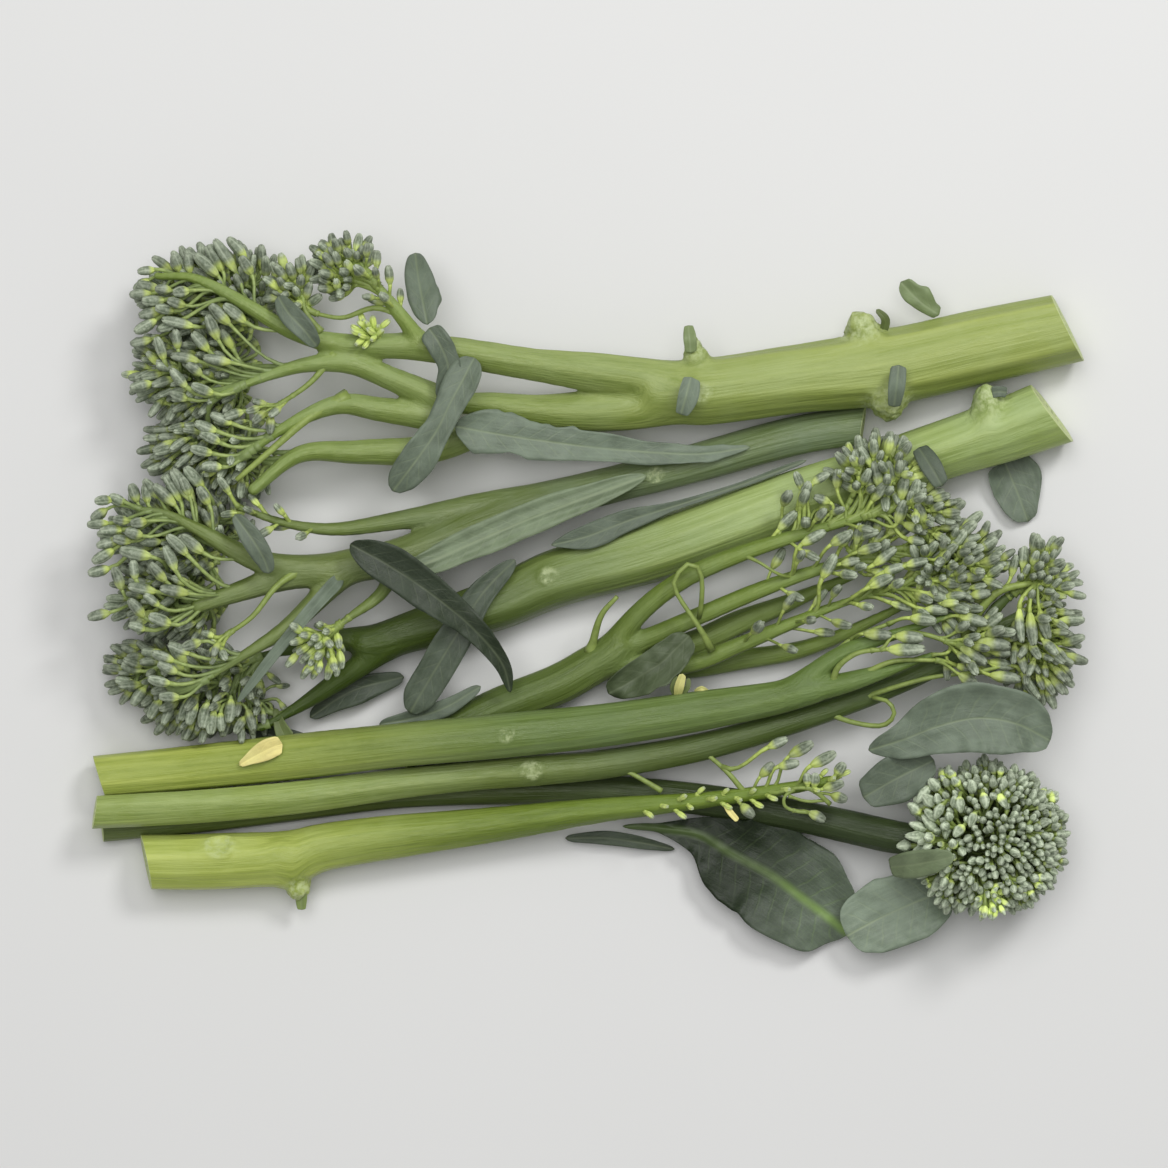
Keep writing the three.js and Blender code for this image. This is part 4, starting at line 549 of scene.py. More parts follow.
class Route:
    """A centreline through [x, y, z, radius] points, on the curve that the solids follow."""

    STEP = 0.6  # between two of its places
    PARTS = 16  # steps of the curve between two given points
    SMOOTHING = 7  # places over which the radius is evened out
    FAR = 50.0  # gap of a point that is out of reach

    def __init__(self, points, lead=0.0, slim=0.0):
        table = np.array(points, float)
        if lead:
            first = table[0].copy()
            first[:3] += lead * unit(table[0, :3] - table[1, :3])
            table = np.vstack([first, table])
        padded = np.vstack([2 * table[0] - table[1], table, 2 * table[-1] - table[-2]])
        places = []
        for i in range(len(table) - 1):
            a, b, c, d = padded[i:i + 4, :3]
            ab, bc, cd = (np.linalg.norm(q - p) ** 0.5 for p, q in ((a, b), (b, c), (c, d)))
            start = ((b - a) / ab - (c - a) / (ab + bc) + (c - b) / bc) * bc
            end = ((c - b) / bc - (d - b) / (bc + cd) + (d - c) / cd) * bc
            t = np.linspace(0, 1, self.PARTS, endpoint=False)[:, None]
            path = b + start * t + (3 * (c - b) - 2 * start - end) * t ** 2
            path = path + (2 * (b - c) + start + end) * t ** 3
            radius = table[i, 3] + (table[i + 1, 3] - table[i, 3]) * t
            places.append(np.hstack([path, radius]))
        line = np.vstack([*places, table[-1:]])
        along = np.append(0, np.cumsum(np.linalg.norm(np.diff(line[:, :3], axis=0), axis=1)))
        self.length = along[-1]
        count = max(4, int(math.ceil(self.length / self.STEP)))
        self.s = np.linspace(0, self.length, count + 1)
        even = np.stack([np.interp(self.s, along, line[:, k]) for k in range(4)], axis=1)
        self.place = even[:, :3]
        window = np.ones(self.SMOOTHING) / self.SMOOTHING
        rounded = np.pad(even[:, 3], self.SMOOTHING // 2, mode="edge")
        self.radius = np.convolve(rounded, window, mode="valid")
        self.radius = self.radius * (1 - slim * ease(0.35, 1.0, self.s / self.length))
        self.tangent = unit(np.gradient(self.place, axis=0))
        self.side = unit(np.cross(self.tangent, UP))
        self.over = np.cross(self.side, self.tangent)
        self.offset = 0.0

    def at(self, s, what="place"):
        """The place, tangent or another list at these lengths."""
        table = getattr(self, what)
        if table.ndim == 1:
            return np.interp(s, self.s, table)
        return np.stack([np.interp(s, self.s, table[:, k]) for k in range(3)], axis=-1)

    def gaps(self, place):
        """Distances of the route's places from one place."""
        return np.linalg.norm(self.place - place, axis=1)

    def measure(self, points, reach=4.0):
        """Gap to the tube's skin, outward direction, grain place and radius, seen from points."""
        gap = np.full(len(points), self.FAR)
        out = np.zeros((len(points), 3))
        grain = np.zeros((len(points), 3))
        girth = np.ones(len(points))
        widest = self.radius.max() + reach
        low, high = self.place.min(0) - widest, self.place.max(0) + widest
        near = np.flatnonzero(((points > low) & (points < high)).all(1))
        for block in np.array_split(near, max(1, len(near) // 20000)):
            if not len(block):
                continue
            q = points[block]
            square = (self.place ** 2).sum(1)[None] - 2 * q @ self.place.T
            i = square.argmin(1)
            step = dot(q - self.place[i], self.tangent[i])
            s = np.clip(self.s[i] + np.clip(step, -self.STEP, self.STEP), 0, self.length)
            away = q - self.at(s)
            distance = np.linalg.norm(away, axis=1)
            girth[block] = self.at(s, "radius")
            gap[block] = distance - girth[block]
            out[block] = away / np.maximum(distance, 1e-6)[:, None]
            grain[block] = np.stack(
                [dot(away, self.side[i]), dot(away, self.over[i]), s + self.offset], axis=1)
        return gap, out, grain, girth


def ring_faces(count, rings, sides):
    """Faces of count tubes, each of rings of sides points, then a bottom and a top point."""
    size = rings * sides + 2
    j = np.arange(sides)
    after = (j + 1) % sides
    k = np.arange(rings - 1)[:, None] * sides
    quads = np.stack([k + j, k + after, k + sides + after, k + sides + j], axis=-1).reshape(-1, 4)
    bottom = np.stack([np.full(sides, size - 2), after, j], axis=1)
    last = (rings - 1) * sides
    top = np.stack([np.full(sides, size - 1), last + j, last + after], axis=1)
    tris = np.vstack([bottom, top])
    shift = (np.arange(count) * size)[:, None, None]
    return (quads[None] + shift).reshape(-1, 4), (tris[None] + shift).reshape(-1, 3)


def sweep(centres, radii, sides):
    """Tubes along centres (n, rings, 3): their points (n, rings * sides + 2, 3)."""
    count, rings = radii.shape
    tangent = unit(np.gradient(centres, axis=1))
    guide = np.where(np.abs(tangent[:, :1, 2:]) > 0.9, np.array((1.0, 0, 0)), UP)
    x = unit(np.cross(tangent[:, 0], guide[:, 0]))
    frames = []
    for k in range(rings):
        x = unit(x - dot(x, tangent[:, k])[:, None] * tangent[:, k])
        frames.append(x)
    x = np.stack(frames, axis=1)
    y = np.cross(tangent, x)
    angle = 2 * math.pi * np.arange(sides) / sides
    spoke = (np.cos(angle)[None, None, :, None] * x[:, :, None]
             + np.sin(angle)[None, None, :, None] * y[:, :, None])
    points = centres[:, :, None] + spoke * radii[:, :, None, None]
    body = points.reshape(count, rings * sides, 3)
    return np.concatenate([body, centres[:, :1], centres[:, -1:]], axis=1)


def with_ends(values, rings, sides):
    """A value for each ring spread over the points of sweep."""
    spread = np.repeat(values, sides, axis=1)
    return np.concatenate([spread, values[:, :1], values[:, -1:]], axis=1)


# ---- meshes and pieces


def to_frame(points):
    """Points in layout millimetres as the flat list of the frame's metres that a mesh takes."""
    return ((points + LAYOUT_SHIFT) * MM).astype(np.float32).ravel()


def fill_mesh(mesh, points, quads, tris, values=None):
    """Points in layout millimetres and their faces, as a mesh in the frame's metres."""
    corners = np.concatenate([quads.ravel(), tris.ravel()]).astype(np.int32)
    sizes = np.concatenate([np.full(len(quads), 4), np.full(len(tris), 3)])
    starts = np.append(0, np.cumsum(sizes)[:-1]).astype(np.int32)
    mesh.vertices.add(len(points))
    mesh.vertices.foreach_set("co", to_frame(points))
    mesh.loops.add(len(corners))
    mesh.loops.foreach_set("vertex_index", corners)
    mesh.polygons.add(len(sizes))
    mesh.polygons.foreach_set("loop_start", starts)
    mesh.update(calc_edges=True)
    for name, value in (values or {}).items():
        set_value(mesh, name, value)
    mesh.shade_smooth()


def set_value(mesh, name, value):
    """A number or a vector for each point of the mesh."""
    value = np.asarray(value, np.float32)
    kind, field = ("FLOAT_VECTOR", "vector") if value.ndim == 2 else ("FLOAT", "value")
    layer = mesh.attributes.get(name) or mesh.attributes.new(name, kind, "POINT")
    layer.data.foreach_set(field, value.ravel())


def points_of(mesh):
    """The mesh's points in layout millimetres."""
    flat = np.empty(len(mesh.vertices) * 3, np.float32)
    mesh.vertices.foreach_get("co", flat)
    return flat.reshape(-1, 3).astype(float) / MM - LAYOUT_SHIFT


def add_piece(name, mesh, materials, slot, *nodes):
    """A finished mesh as a piece that rides on the bunch and stands for its nodes."""
    piece = bpy.data.objects.new(name, mesh)
    bpy.context.scene.collection.objects.link(piece)
    for material in materials:
        mesh.materials.append(material)
    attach(piece, "root")
    if nodes:
        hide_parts(*nodes)
    return piece


# ---- stems


def stem_routes(stalk):
    """The stalk's stem and limbs, with the grain running on from the stem into the limbs."""
    stem = Route(stalk["stem"], lead=4.0)
    routes = {"stem": stem}
    for name, points in stalk.get("limbs", {}).items():
        limb = Route(points, slim=LIMB_SLIM)
        parent = min(routes.values(), key=lambda r: r.gaps(limb.place[0]).min())
        nearest = parent.gaps(limb.place[0]).argmin()
        limb.offset = parent.s[nearest] + parent.offset
        routes[name] = limb
    for i, points in enumerate(stalk.get("stubs", ())):
        stub = Route(points)
        stub.offset = stem.s[stem.gaps(stub.place[0]).argmin()]
        routes[f"stub_{i}"] = stub
    return routes


def rough_tube(route):
    """A closed tube on the route, rounded off at its far end, for the blend of a stem."""
    s = np.linspace(0, route.length, max(4, int(route.length / 1.2)))
    centres, radii = route.at(s), route.at(s, "radius")
    end, tip, tangent = centres[-1], radii[-1], route.tangent[-1]
    caps = [(0.5, 0.87), (0.87, 0.5)]
    centres = np.vstack([centres, *[end + tangent * tip * reach for reach, _ in caps]])
    radii = np.append(radii, [tip * share for _, share in caps])
    return sweep(centres[None], radii[None], SKIN_SIDES)[0], len(radii)


def merged_skin(shapes, grid):
    """One closed mesh of even cells around all the overlapping shapes."""
    points, quads, tris, base = [], [], [], 0
    for shape, rings in shapes:
        q, t = ring_faces(1, rings, SKIN_SIDES)
        points.append(shape)
        quads.append(q + base)
        tris.append(t + base)
        base += len(shape)
    mesh = bpy.data.meshes.new("rough stem")
    fill_mesh(mesh, np.vstack(points), np.vstack(quads), np.vstack(tris))
    rough = bpy.data.objects.new("rough stem", mesh)
    bpy.context.scene.collection.objects.link(rough)
    remesh = rough.modifiers.new("cells", "REMESH")
    remesh.mode = "VOXEL"
    remesh.voxel_size = grid
    depsgraph = bpy.context.evaluated_depsgraph_get()
    skin = bpy.data.meshes.new_from_object(rough.evaluated_get(depsgraph))
    bpy.data.objects.remove(rough)
    bpy.data.meshes.remove(mesh)
    return skin


def measure_all(points, routes, blend):
    """Blended gap, outward direction, grain, radius and share of each route at the points."""
    found = [route.measure(points) for route in routes]
    gaps = np.stack([gap for gap, *_ in found])
    nearest = gaps.min(0)
    weights = np.exp(-(gaps - nearest) / blend)
    total = weights.sum(0)
    shares = weights / total
    gap = nearest - blend * np.log(total)
    out = unit(sum(w[:, None] * f[1] for w, f in zip(shares, found)))
    grain = sum(w[:, None] * f[2] for w, f in zip(shares, found))
    girth = sum(w * f[3] for w, f in zip(shares, found))
    return gap, out, grain, girth


def scar_relief(grain, scars, routes, blend):
    """Height of the leaf scars' rims on a stem, in mm, and a mask of the scars."""
    height, mask = np.zeros(len(grain)), np.zeros(len(grain))
    if not scars:
        return height, mask
    table = np.array(scars, float)
    _, _, own, _ = measure_all(table[:, :3], routes, blend)
    for (u, v, s), radius in zip(own, table[:, 3]):
        across = np.hypot(grain[:, 0] - u, grain[:, 1] - v) / radius
        along = (grain[:, 2] - s) / (1.15 * radius)
        d = np.hypot(across, along)
        lean = 0.62 + 0.38 * np.tanh(2.0 * along)
        rim = np.exp(-((d - 0.82) / 0.2) ** 2) * lean
        dish = 1 - ease(0.3, 0.8, d)
        swell = np.exp(-(d / 1.7) ** 2)
        height += radius * (0.17 * rim - 0.1 * dish + 0.12 * swell)
        mask = np.maximum(mask, (1 - ease(0.75, 1.1, d)) * (0.55 + 0.45 * rim))
    return height, mask


def ridges(grain, girth, seed, depth):
    """Lengthwise ridges and slow swellings of a stem's skin, in mm, a mask of painted highlight
    along the ridge crests and a band of painted light and shade either side of the broad crests.
    """
    rng = np.random.default_rng(seed)
    p = rng.uniform(0, 2 * math.pi, 8)
    s = grain[:, 2]
    theta = np.arctan2(grain[:, 1], grain[:, 0]) + 0.3 * np.sin(s / 31 + p[0])
    broad = 1 - np.abs(np.sin(2.5 * theta + p[1]))
    narrow = 1 - np.abs(np.sin(4.5 * theta + p[2] + 0.5 * np.sin(s / 17 + p[3])))
    wave = 0.9 * broad ** 1.4 + 0.5 * narrow ** 1.4
    wave += 0.16 * np.cos(13 * theta + p[4] + 1.2 * np.sin(s / 27 + p[5])) - 0.55
    swell = 0.5 * np.sin(s / 11 + p[6]) + 0.35 * np.sin(s / 6.3 + p[7])
    # painted highlight: a pale line along the ridge crests
    line = np.clip(0.7 * broad ** 5 + 0.5 * narrow ** 6, 0, 1)
    # painted light on one side of each broad crest and painted shade on the other, as lit and
    # shaded facets
    facet_light_and_shade = ease(-0.35, 0.35, np.sin(2.5 * theta + p[1]) + 0.2 * np.sin(s / 23 + p[6]))
    return girth * depth * (wave + 0.45 * swell), line, facet_light_and_shade


def stub_mask(points, stalk):
    """1 where a leaf was torn from the stem and its short stub is left."""
    mask = np.zeros(len(points))
    for stub in stalk.get("stubs", ()):
        *end, size = stub[-1]
        away = np.linalg.norm(points - np.array(end), axis=1)
        mask = np.maximum(mask, 1 - ease(0.8 * size, 2.4 * size, away))
    return mask


def cut_plane(stalk, tilt):
    """A point on the slanted cut and its outward normal, in layout millimetres."""
    stem = Route(stalk["stem"])
    tangent, side = stem.tangent[0], stem.side[0]
    normal = unit(-tangent + stalk["slant"] * side + tilt * UP)
    return stem.place[0] + tangent * stem.radius[0] * tilt, normal


PITH_RINGS = (  # share of the rim's radius, then height over the cut as a share of the radius
    (0.985, 0.02), (0.95, 0.025), (0.88, 0.0), (0.78, -0.03), (0.64, -0.05), (0.46, -0.06),
    (0.28, -0.075), (0.12, -0.1))


def cut_off(mesh, place, normal, radius):
    """Cuts the mesh on the plane and closes it with rings of pith that dip to the middle."""
    work = bmesh.new()
    work.from_mesh(mesh)
    at = Vector((place + LAYOUT_SHIFT) * MM)
    everything = [*work.verts, *work.edges, *work.faces]
    bmesh.ops.bisect_plane(
        work, geom=everything, dist=1e-7, plane_co=at, plane_no=Vector(normal), clear_outer=True)
    rim = [edge for edge in work.edges if edge.is_boundary]
    loop = [rim[0].verts[0], rim[0].verts[1]]
    rim_set = set(rim)
    used = {rim[0]}
    while True:
        onward = next((e for e in loop[-1].link_edges if e in rim_set and e not in used), None)
        if onward is None:
            break
        used.add(onward)
        loop.append(onward.other_vert(loop[-1]))
    if loop[0] is loop[-1]:
        loop.pop()
    for edge in rim:
        edge.smooth = False
    centre = sum((v.co for v in loop), Vector()) / len(loop)
    outward = Vector(normal) * radius * MM
    faces = []
    last = loop
    for share, height in PITH_RINGS:
        ring = [work.verts.new(centre + (v.co - centre) * share + outward * height) for v in loop]
        for i in range(len(loop)):
            j = (i + 1) % len(loop)
            faces.append(work.faces.new((last[i], last[j], ring[j], ring[i])))
        last = ring
    middle = work.verts.new(centre - outward * 0.1)
    for i in range(len(loop)):
        faces.append(work.faces.new((last[i], last[(i + 1) % len(loop)], middle)))
    for face in faces:
        face.material_index = 1
    bmesh.ops.recalc_face_normals(work, faces=list(work.faces))
    work.to_mesh(mesh)
    work.free()


def build_stem(name, stalk, form, seed):
    """A stalk's stem and limbs in one skin, with its scars and its cut end."""
    routes = list(stem_routes(stalk).values())
    blend = form.blend / MM
    mesh = merged_skin([rough_tube(route) for route in routes], form.grid)
    points = points_of(mesh)
    for _ in range(3):
        gap, out, _, _ = measure_all(points, routes, blend)
        points = points - np.clip(gap, -0.6, 0.6)[:, None] * out
    _, out, grain, girth = measure_all(points, routes, blend)
    scars = stalk.get("scars", ())
    rise = ridges(grain, girth, seed, form.ridges)[0] + scar_relief(grain, scars, routes, blend)[0]
    rise += 0.5 * stub_mask(points, stalk) * soft_noise(seed + 900, *(2.6 * points.T))
    points = points + rise[:, None] * out
    points[:, 2] = np.maximum(points[:, 2], FLOOR)
    mesh.vertices.foreach_set("co", to_frame(points))
    place, normal = cut_plane(stalk, form.cut_tilt)
    radius = stalk["stem"][0][3]
    cut_off(mesh, place, normal, radius)
    points = points_of(mesh)
    _, _, grain, girth = measure_all(points, routes, blend)
    # masks of the painted crest highlight and of the painted facet light and shade
    _, line, facet_light_and_shade = ridges(grain, girth, seed, form.ridges)
    scar = np.maximum(scar_relief(grain, scars, routes, blend)[1], stub_mask(points, stalk))
    from_cut = np.linalg.norm(points - place, axis=1) / radius
    for value_name, value in (
            ("grain", grain), ("girth", girth), ("scar", scar), ("ridge_highlight", line), ("facet_light_and_shade", facet_light_and_shade),
            ("pith", 1 - np.clip(from_cut, 0, 1)),
            ("reach", np.clip(grain[:, 2] / grain[:, 2].max(), 0, 1))):
        set_value(mesh, value_name, value)
    mesh.shade_smooth()
    mesh.update()
    return mesh


# ---- room for buds


class Room:
    """What fills the space already, so that buds keep clear of stems, leaves and each other."""

    def __init__(self):
        self.fixed = np.zeros((0, 4))
        self.buds = np.zeros((0, 4))
        self.low, self.high = room_box

    def add_fixed(self, places, radii):
        """Balls that no bud may enter."""
        self.fixed = np.vstack([self.fixed, np.hstack([places, np.atleast_2d(radii).T])])

    def is_free(self, balls, squeeze):
        """True if these balls (centre, radius) may stand here."""
        centre, radius = balls[:, :3], balls[:, 3]
        if 1.6 * centre[0, 2] - 0.6 * centre[1, 2] < 0.9:
            return False
        if ((centre - radius[:, None]) < self.low + 0.05).any():
            return False
        if ((centre + radius[:, None]) > self.high - 0.05).any():
            return False
        for others, share in ((self.fixed, 0.95), (self.buds, squeeze)):
            if not len(others):
                continue
            square = ((centre[:, None] - others[None, :, :3]) ** 2).sum(2)
            reach = share * (radius[:, None] + others[None, :, 3])
            if (square < reach ** 2).any():
                return False
        return True

    def take(self, balls):
        """These balls are filled from now on."""
        self.buds = np.vstack([self.buds, balls])


def bud_balls(base, axis, size, width):
    """Three balls that stand for a bud."""
    shares = np.array((0.32, 0.6, 0.86))[:, None]
    centres = base + axis * size * shares
    return np.hstack([centres, np.array((0.42, 0.5, 0.42))[:, None] * width])


def behind(place, edge):
    """How far a place lies to the right of a head's inner edge, given as [y, x] points."""
    ys, xs = np.array(edge, float).T
    return place[0] - np.interp(place[1], ys, xs) - 4.0 * ease(10.0, 3.0, place[2])


class Buds:
    """Buds of one piece: where each stands, how large it is and the limb that carries it."""

    def __init__(self, room, routes, seed, thin=None):
        self.room, self.routes = room, routes
        self.branchlets = [Route(points) for points in THIN_STEMS.get(thin, [])]
        self.rng = np.random.default_rng(seed)
        self.rows = []
        self.roots = []
        self.brightest = 1.0

    def place(self, base, axis, size, width, root=None, squeeze=0.8, tint=None):
        """Adds a bud where there is room for it."""
        base, axis = np.asarray(base, float), unit(np.asarray(axis, float))
        balls = bud_balls(base, axis, size, width)
        if not self.room.is_free(balls, squeeze):
            return False
        self.room.take(balls)
        tint = self.rng.random() * self.brightest if tint is None else tint
        self.rows.append((*base, *axis, size, width, self.rng.uniform(0, 6.28), tint))
        self.roots.append(self.find_root(base, axis) if root is None else root)
        return True

    def find_root(self, base, axis):
        """The place on a thin branch from which a stalk runs most easily to the bud's base."""
        best, chosen = 1e9, None
        for route in self.branchlets + self.routes:
            away = base - route.place
            distance = np.linalg.norm(away, axis=1)
            heading = away / np.maximum(distance, 1e-6)[:, None]
            cost = 0.8 * np.abs(distance - 3.4) + 4.0 * (1 - dot(heading, route.tangent))
            cost = cost + 3.0 * (1 - heading @ axis) + 2.0 * (1 - route.s / route.length)
            i = cost.argmin()
            if cost[i] < best:
                best = cost[i]
                chosen = (route.place[i], route.tangent[i], route.radius[i])
        return chosen

    def branch(self, target, outward, reach=8.0, width=1.1):
        """A thin branch from the best place on a limb to a target inside the head."""
        target = np.asarray(target, float)
        best, chosen = 1e9, None
        for route in self.routes:
            away = target - route.place
            distance = np.linalg.norm(away, axis=1)
            heading = away / np.maximum(distance, 1e-6)[:, None]
            cost = 0.5 * np.abs(distance - reach) + 8.0 * (1 - dot(heading, route.tangent))
            cost = cost + 5.0 * ease(0.4, 0.1, route.s / route.length)
            i = cost.argmin()
            if cost[i] < best:
                best = cost[i]
                chosen = (route.place[i], route.tangent[i], distance[i])
        root, tangent, distance = chosen
        knee = root + unit(tangent * 0.8 + unit(target - root) * 0.5) * distance * 0.4
        wrist = target - unit(outward) * distance * 0.22
        half = width / 2 * self.rng.uniform(0.85, 1.15)
        shares = (1.25, 1.0, 0.85, 0.65)
        points = [[*p, half * s] for p, s in zip((root, knee, wrist, target), shares)]
        self.branchlets.append(Route(points))

    def branch_shell(self, lumps, count, edge=None, level=0.62, reach=8.0, width=1.1):
        """Thin branches to places spread inside the lumps of a head."""
        for lump in lumps:
            centre, radii = np.array(lump[:3]), np.array(lump[3:])
            for direction in sunflower(count, lump[0]):
                target = centre + direction * radii * level
                if target[2] < 1.5 or (edge is not None and behind(target, edge) > -2):
                    continue
                self.branch(target, direction / radii, reach, width)

    def nearest(self, place):
        """The place, heading and radius on the limb that is nearest to a place."""
        best = min(self.routes, key=lambda r: r.gaps(place).min())
        i = best.gaps(place).argmin()
        return best.place[i], best.tangent[i], best.radius[i]

    def hero(self, rows, shift=(0, 0), width=2.2, tints=(0.15, 0.9)):
        """Buds at the places where the bunch shows them; a row may name its root as well."""
        move = np.array((*shift, 0.0))
        rise = 0.5
        for x0, y0, x1, y1, z, *root in rows:
            base = np.array((x0, y0, z - rise)) + move
            tip = np.array((x1, y1, z + rise * self.rng.uniform(-0.5, 1.5))) + move
            away = tip - base
            size = np.linalg.norm(away)
            stout = width * min(1.25, 0.75 + size * 0.06) * self.rng.uniform(0.92, 1.08)
            if root:
                root = self.nearest(np.array(root, float) + move)
            tint = self.rng.uniform(*tints)
            self.place(base, away / size, size, stout, root=root or None, squeeze=0.5, tint=tint)

    def cloud(self, centre, radii, count, anchor, size, width, hollow=0.0, wild=0.35, tint=None):
        """Buds scattered in an ellipsoid, pointing away from the anchor."""
        centre, radii, anchor = (np.array(v, float) for v in (centre, radii, anchor))
        made = 0
        for _ in range(count * 6):
            if made >= count:
                break
            direction = unit(self.rng.normal(size=3))
            share = hollow + (1 - hollow) * self.rng.random() ** 0.4
            base = centre + direction * radii * share
            flow = unit(base - anchor)
            normal = unit(direction / radii)
            axis = unit(flow + normal * 0.6 + wild * self.rng.normal(size=3))
            axis[2] = max(axis[2], -0.35)
            scale = self.rng.uniform(0.82, 1.15)
            if self.place(base, axis, size * scale, width * scale, tint=tint):
                made += 1

    def shell(self, centre, radii, spacing, anchor, size, width, others=(), level=1.0, edge=None):
        """Buds all over an ellipsoid, on turns of the golden angle."""
        centre, radii, anchor = (np.array(v, float) for v in (centre, radii, anchor))
        mean = (radii[0] * radii[1] + radii[1] * radii[2] + radii[0] * radii[2]) / 3
        count = int(4 * math.pi * mean * level ** 2 / spacing ** 2)
        for direction in sunflower(count):
            base = centre + direction * radii * level * self.rng.uniform(0.9, 1.04)
            if any((((base - o[:3]) / o[3:]) ** 2).sum() < 0.75 for o in others):
                continue
            if edge is not None and behind(base, edge) > 2.0 * self.rng.random() ** 2:
                continue
            flow = unit(base - anchor)
            normal = unit(direction / radii)
            axis = unit(flow + normal * 0.8 + 0.42 * self.rng.normal(size=3))
            axis[2] = max(axis[2], -0.3)
            scale = self.rng.uniform(0.68, 1.2)
            self.place(base, axis, size * scale, width * scale, squeeze=0.76)

    def spray(self, route, count, start, reach, size, width, drop=0.3, tint=None):
        """Buds along a limb, turned on by the golden angle and leaning to its tip."""
        turn = self.rng.uniform(0, 6.28)
        for i in range(count):
            s = route.length * (start + (1 - start) * (i + 1) / count)
            root, tangent = route.at(s), unit(route.at(s, "tangent"))
            side = unit(np.cross(tangent, UP))
            over = np.cross(side, tangent)
            angle = GOLDEN_ANGLE * i + turn
            out = side * math.cos(angle) + over * (math.sin(angle) + drop)
            axis = unit(out + tangent * self.rng.uniform(0.9, 1.6))
            base = root + axis * reach * self.rng.uniform(0.6, 1.3)
            scale = self.rng.uniform(0.85, 1.15)
            self.place(base, axis, size * scale, width * scale,
                       root=(root, tangent, route.at(s, "radius")), tint=tint)


LONG_PROFILE = np.array((
    (0, 0.24), (0.12, 0.6), (0.34, 0.95), (0.62, 1), (0.84, 0.86), (0.96, 0.55), (1, 0.2)))
ROUND_PROFILE = np.array((
    (0, 0.24), (0.18, 0.76), (0.5, 1), (0.84, 0.7), (1, 0.2)))


def bud_mesh(name, buds, profile, sides=12):
    """All the buds of a piece: four sepals each, creased where they meet and open at the tip."""
    rows = np.array(buds.rows)
    base, axis, size, width = rows[:, 0:3], rows[:, 3:6], rows[:, 6], rows[:, 7]
    roll, tint = rows[:, 8], rows[:, 9]
    t, r = profile[:, 0], profile[:, 1]
    angle = 2 * math.pi * np.arange(sides) / sides
    crease = np.clip(np.cos(4 * angle), 0, 1) ** 2
    depth = 0.05 + 0.22 * ease(0.5, 1.0, t)
    ring = r[:, None] * (1 - depth[:, None] * crease[None])
    lift = 0.05 * ease(0.85, 1.0, t)[:, None] * (1 - crease[None])
    guide = np.where(np.abs(axis[:, 2:]) > 0.9, np.array((1.0, 0, 0)), UP)
    x = unit(np.cross(axis, guide))
    y = np.cross(axis, x)
    c, s = np.cos(roll)[:, None], np.sin(roll)[:, None]
    x, y = x * c + y * s, y * c - x * s
    bend = x * (0.09 * (tint - 0.5) * size)[:, None]
    spoke = (np.cos(angle)[None, None, :, None] * x[:, None, None]
             + np.sin(angle)[None, None, :, None] * y[:, None, None])
    rise = t[None, :, None, None] + lift[None, :, :, None]
    arch = (t * (1 - t) * 4)[None, :, None, None]
    points = (base[:, None, None] + axis[:, None, None] * size[:, None, None, None] * rise
              + bend[:, None, None] * arch
              + spoke * (width / 2)[:, None, None, None] * ring[None, :, :, None])
    count, rings = len(rows), len(t)
    ends = np.stack([base, base + axis * size[:, None] * 0.93], axis=1)
    points = np.concatenate([points.reshape(count, -1, 3), ends], axis=1)
    end_rise = np.tile(np.array((0.0, 1.0)), (count, 1))
    rises = np.concatenate([np.tile(np.repeat(t, sides), (count, 1)), end_rise], axis=1)
    lobes = np.tile(np.append(np.tile(1 - crease, rings), (0, 0)), (count, 1))
    tints = np.repeat(tint[:, None], points.shape[1], axis=1)
    quads, tris = ring_faces(count, rings, sides)
    mesh = bpy.data.meshes.new(name)
    fill_mesh(mesh, points.reshape(-1, 3), quads, tris, {
        "rise": rises.ravel(), "lobe": lobes.ravel(), "tint": tints.ravel()})
    return mesh


def pedicel_mesh(name, buds, width, sides=5, rings=7):
    """The thin branches and the stalks of the buds, flared where they leave what carries them."""
    rows = np.array(buds.rows)
    base, axis, tint = rows[:, 0:3], rows[:, 3:6], rows[:, 9]
    root = np.array([r[0] for r in buds.roots])
    heading = np.array([r[1] for r in buds.roots])
    away = base - root
    reach = np.linalg.norm(away, axis=1)[:, None]
    rng = np.random.default_rng(len(rows))
    start = unit(heading * 0.9 + unit(away) * 0.6 + 0.12 * rng.normal(size=base.shape))
    p1 = root + start * reach * 0.42
    p2 = base - axis * reach * 0.34
    p3 = base + axis * 0.25
    t = np.linspace(0, 1, rings)[None, :, None]
    centres = ((1 - t) ** 3 * root[:, None] + 3 * (1 - t) ** 2 * t * p1[:, None]
               + 3 * (1 - t) * t ** 2 * p2[:, None] + t ** 3 * p3[:, None])
    half = width / 2 * (0.8 + 0.45 * tint)
    slim = 1 + 0.7 * (1 - ease(0, 0.35, t[:, :, 0])) + 0.25 * ease(0.8, 1, t[:, :, 0])
    tubes = [(centres, half[:, None] * slim, sides, tint, t[0, :, 0])]
    if buds.branchlets:
        share = np.linspace(0, 1, 2 * rings + 2)
        places = np.stack([r.at(share * r.length) for r in buds.branchlets])
        radii = np.stack([r.at(share * r.length, "radius") for r in buds.branchlets])
        radii = radii * (1 + 0.5 * (1 - ease(0, 0.2, share)))
        tubes.append((places, radii, sides + 2, rng.random(len(places)), share * 0.3))
    points, quads, tris, rises, tints = [], [], [], [], []
    first = 0
    for centres, radii, sides, tint, rise in tubes:
        centres[:, :, 2] = np.maximum(centres[:, :, 2], radii + 0.05)
        count, rings = radii.shape
        q, f = ring_faces(count, rings, sides)
        points.append(sweep(centres, radii, sides).reshape(-1, 3))
        quads.append(q + first)
        tris.append(f + first)
        rises.append(with_ends(np.tile(rise, (count, 1)), rings, sides).ravel())
        tints.append(np.repeat(tint, rings * sides + 2))
        first += len(points[-1])
    mesh = bpy.data.meshes.new(name)
    fill_mesh(mesh, np.vstack(points), np.vstack(quads), np.vstack(tris), {
        "rise": np.concatenate(rises), "tint": np.concatenate(tints)})
    return mesh


# ---- leaves


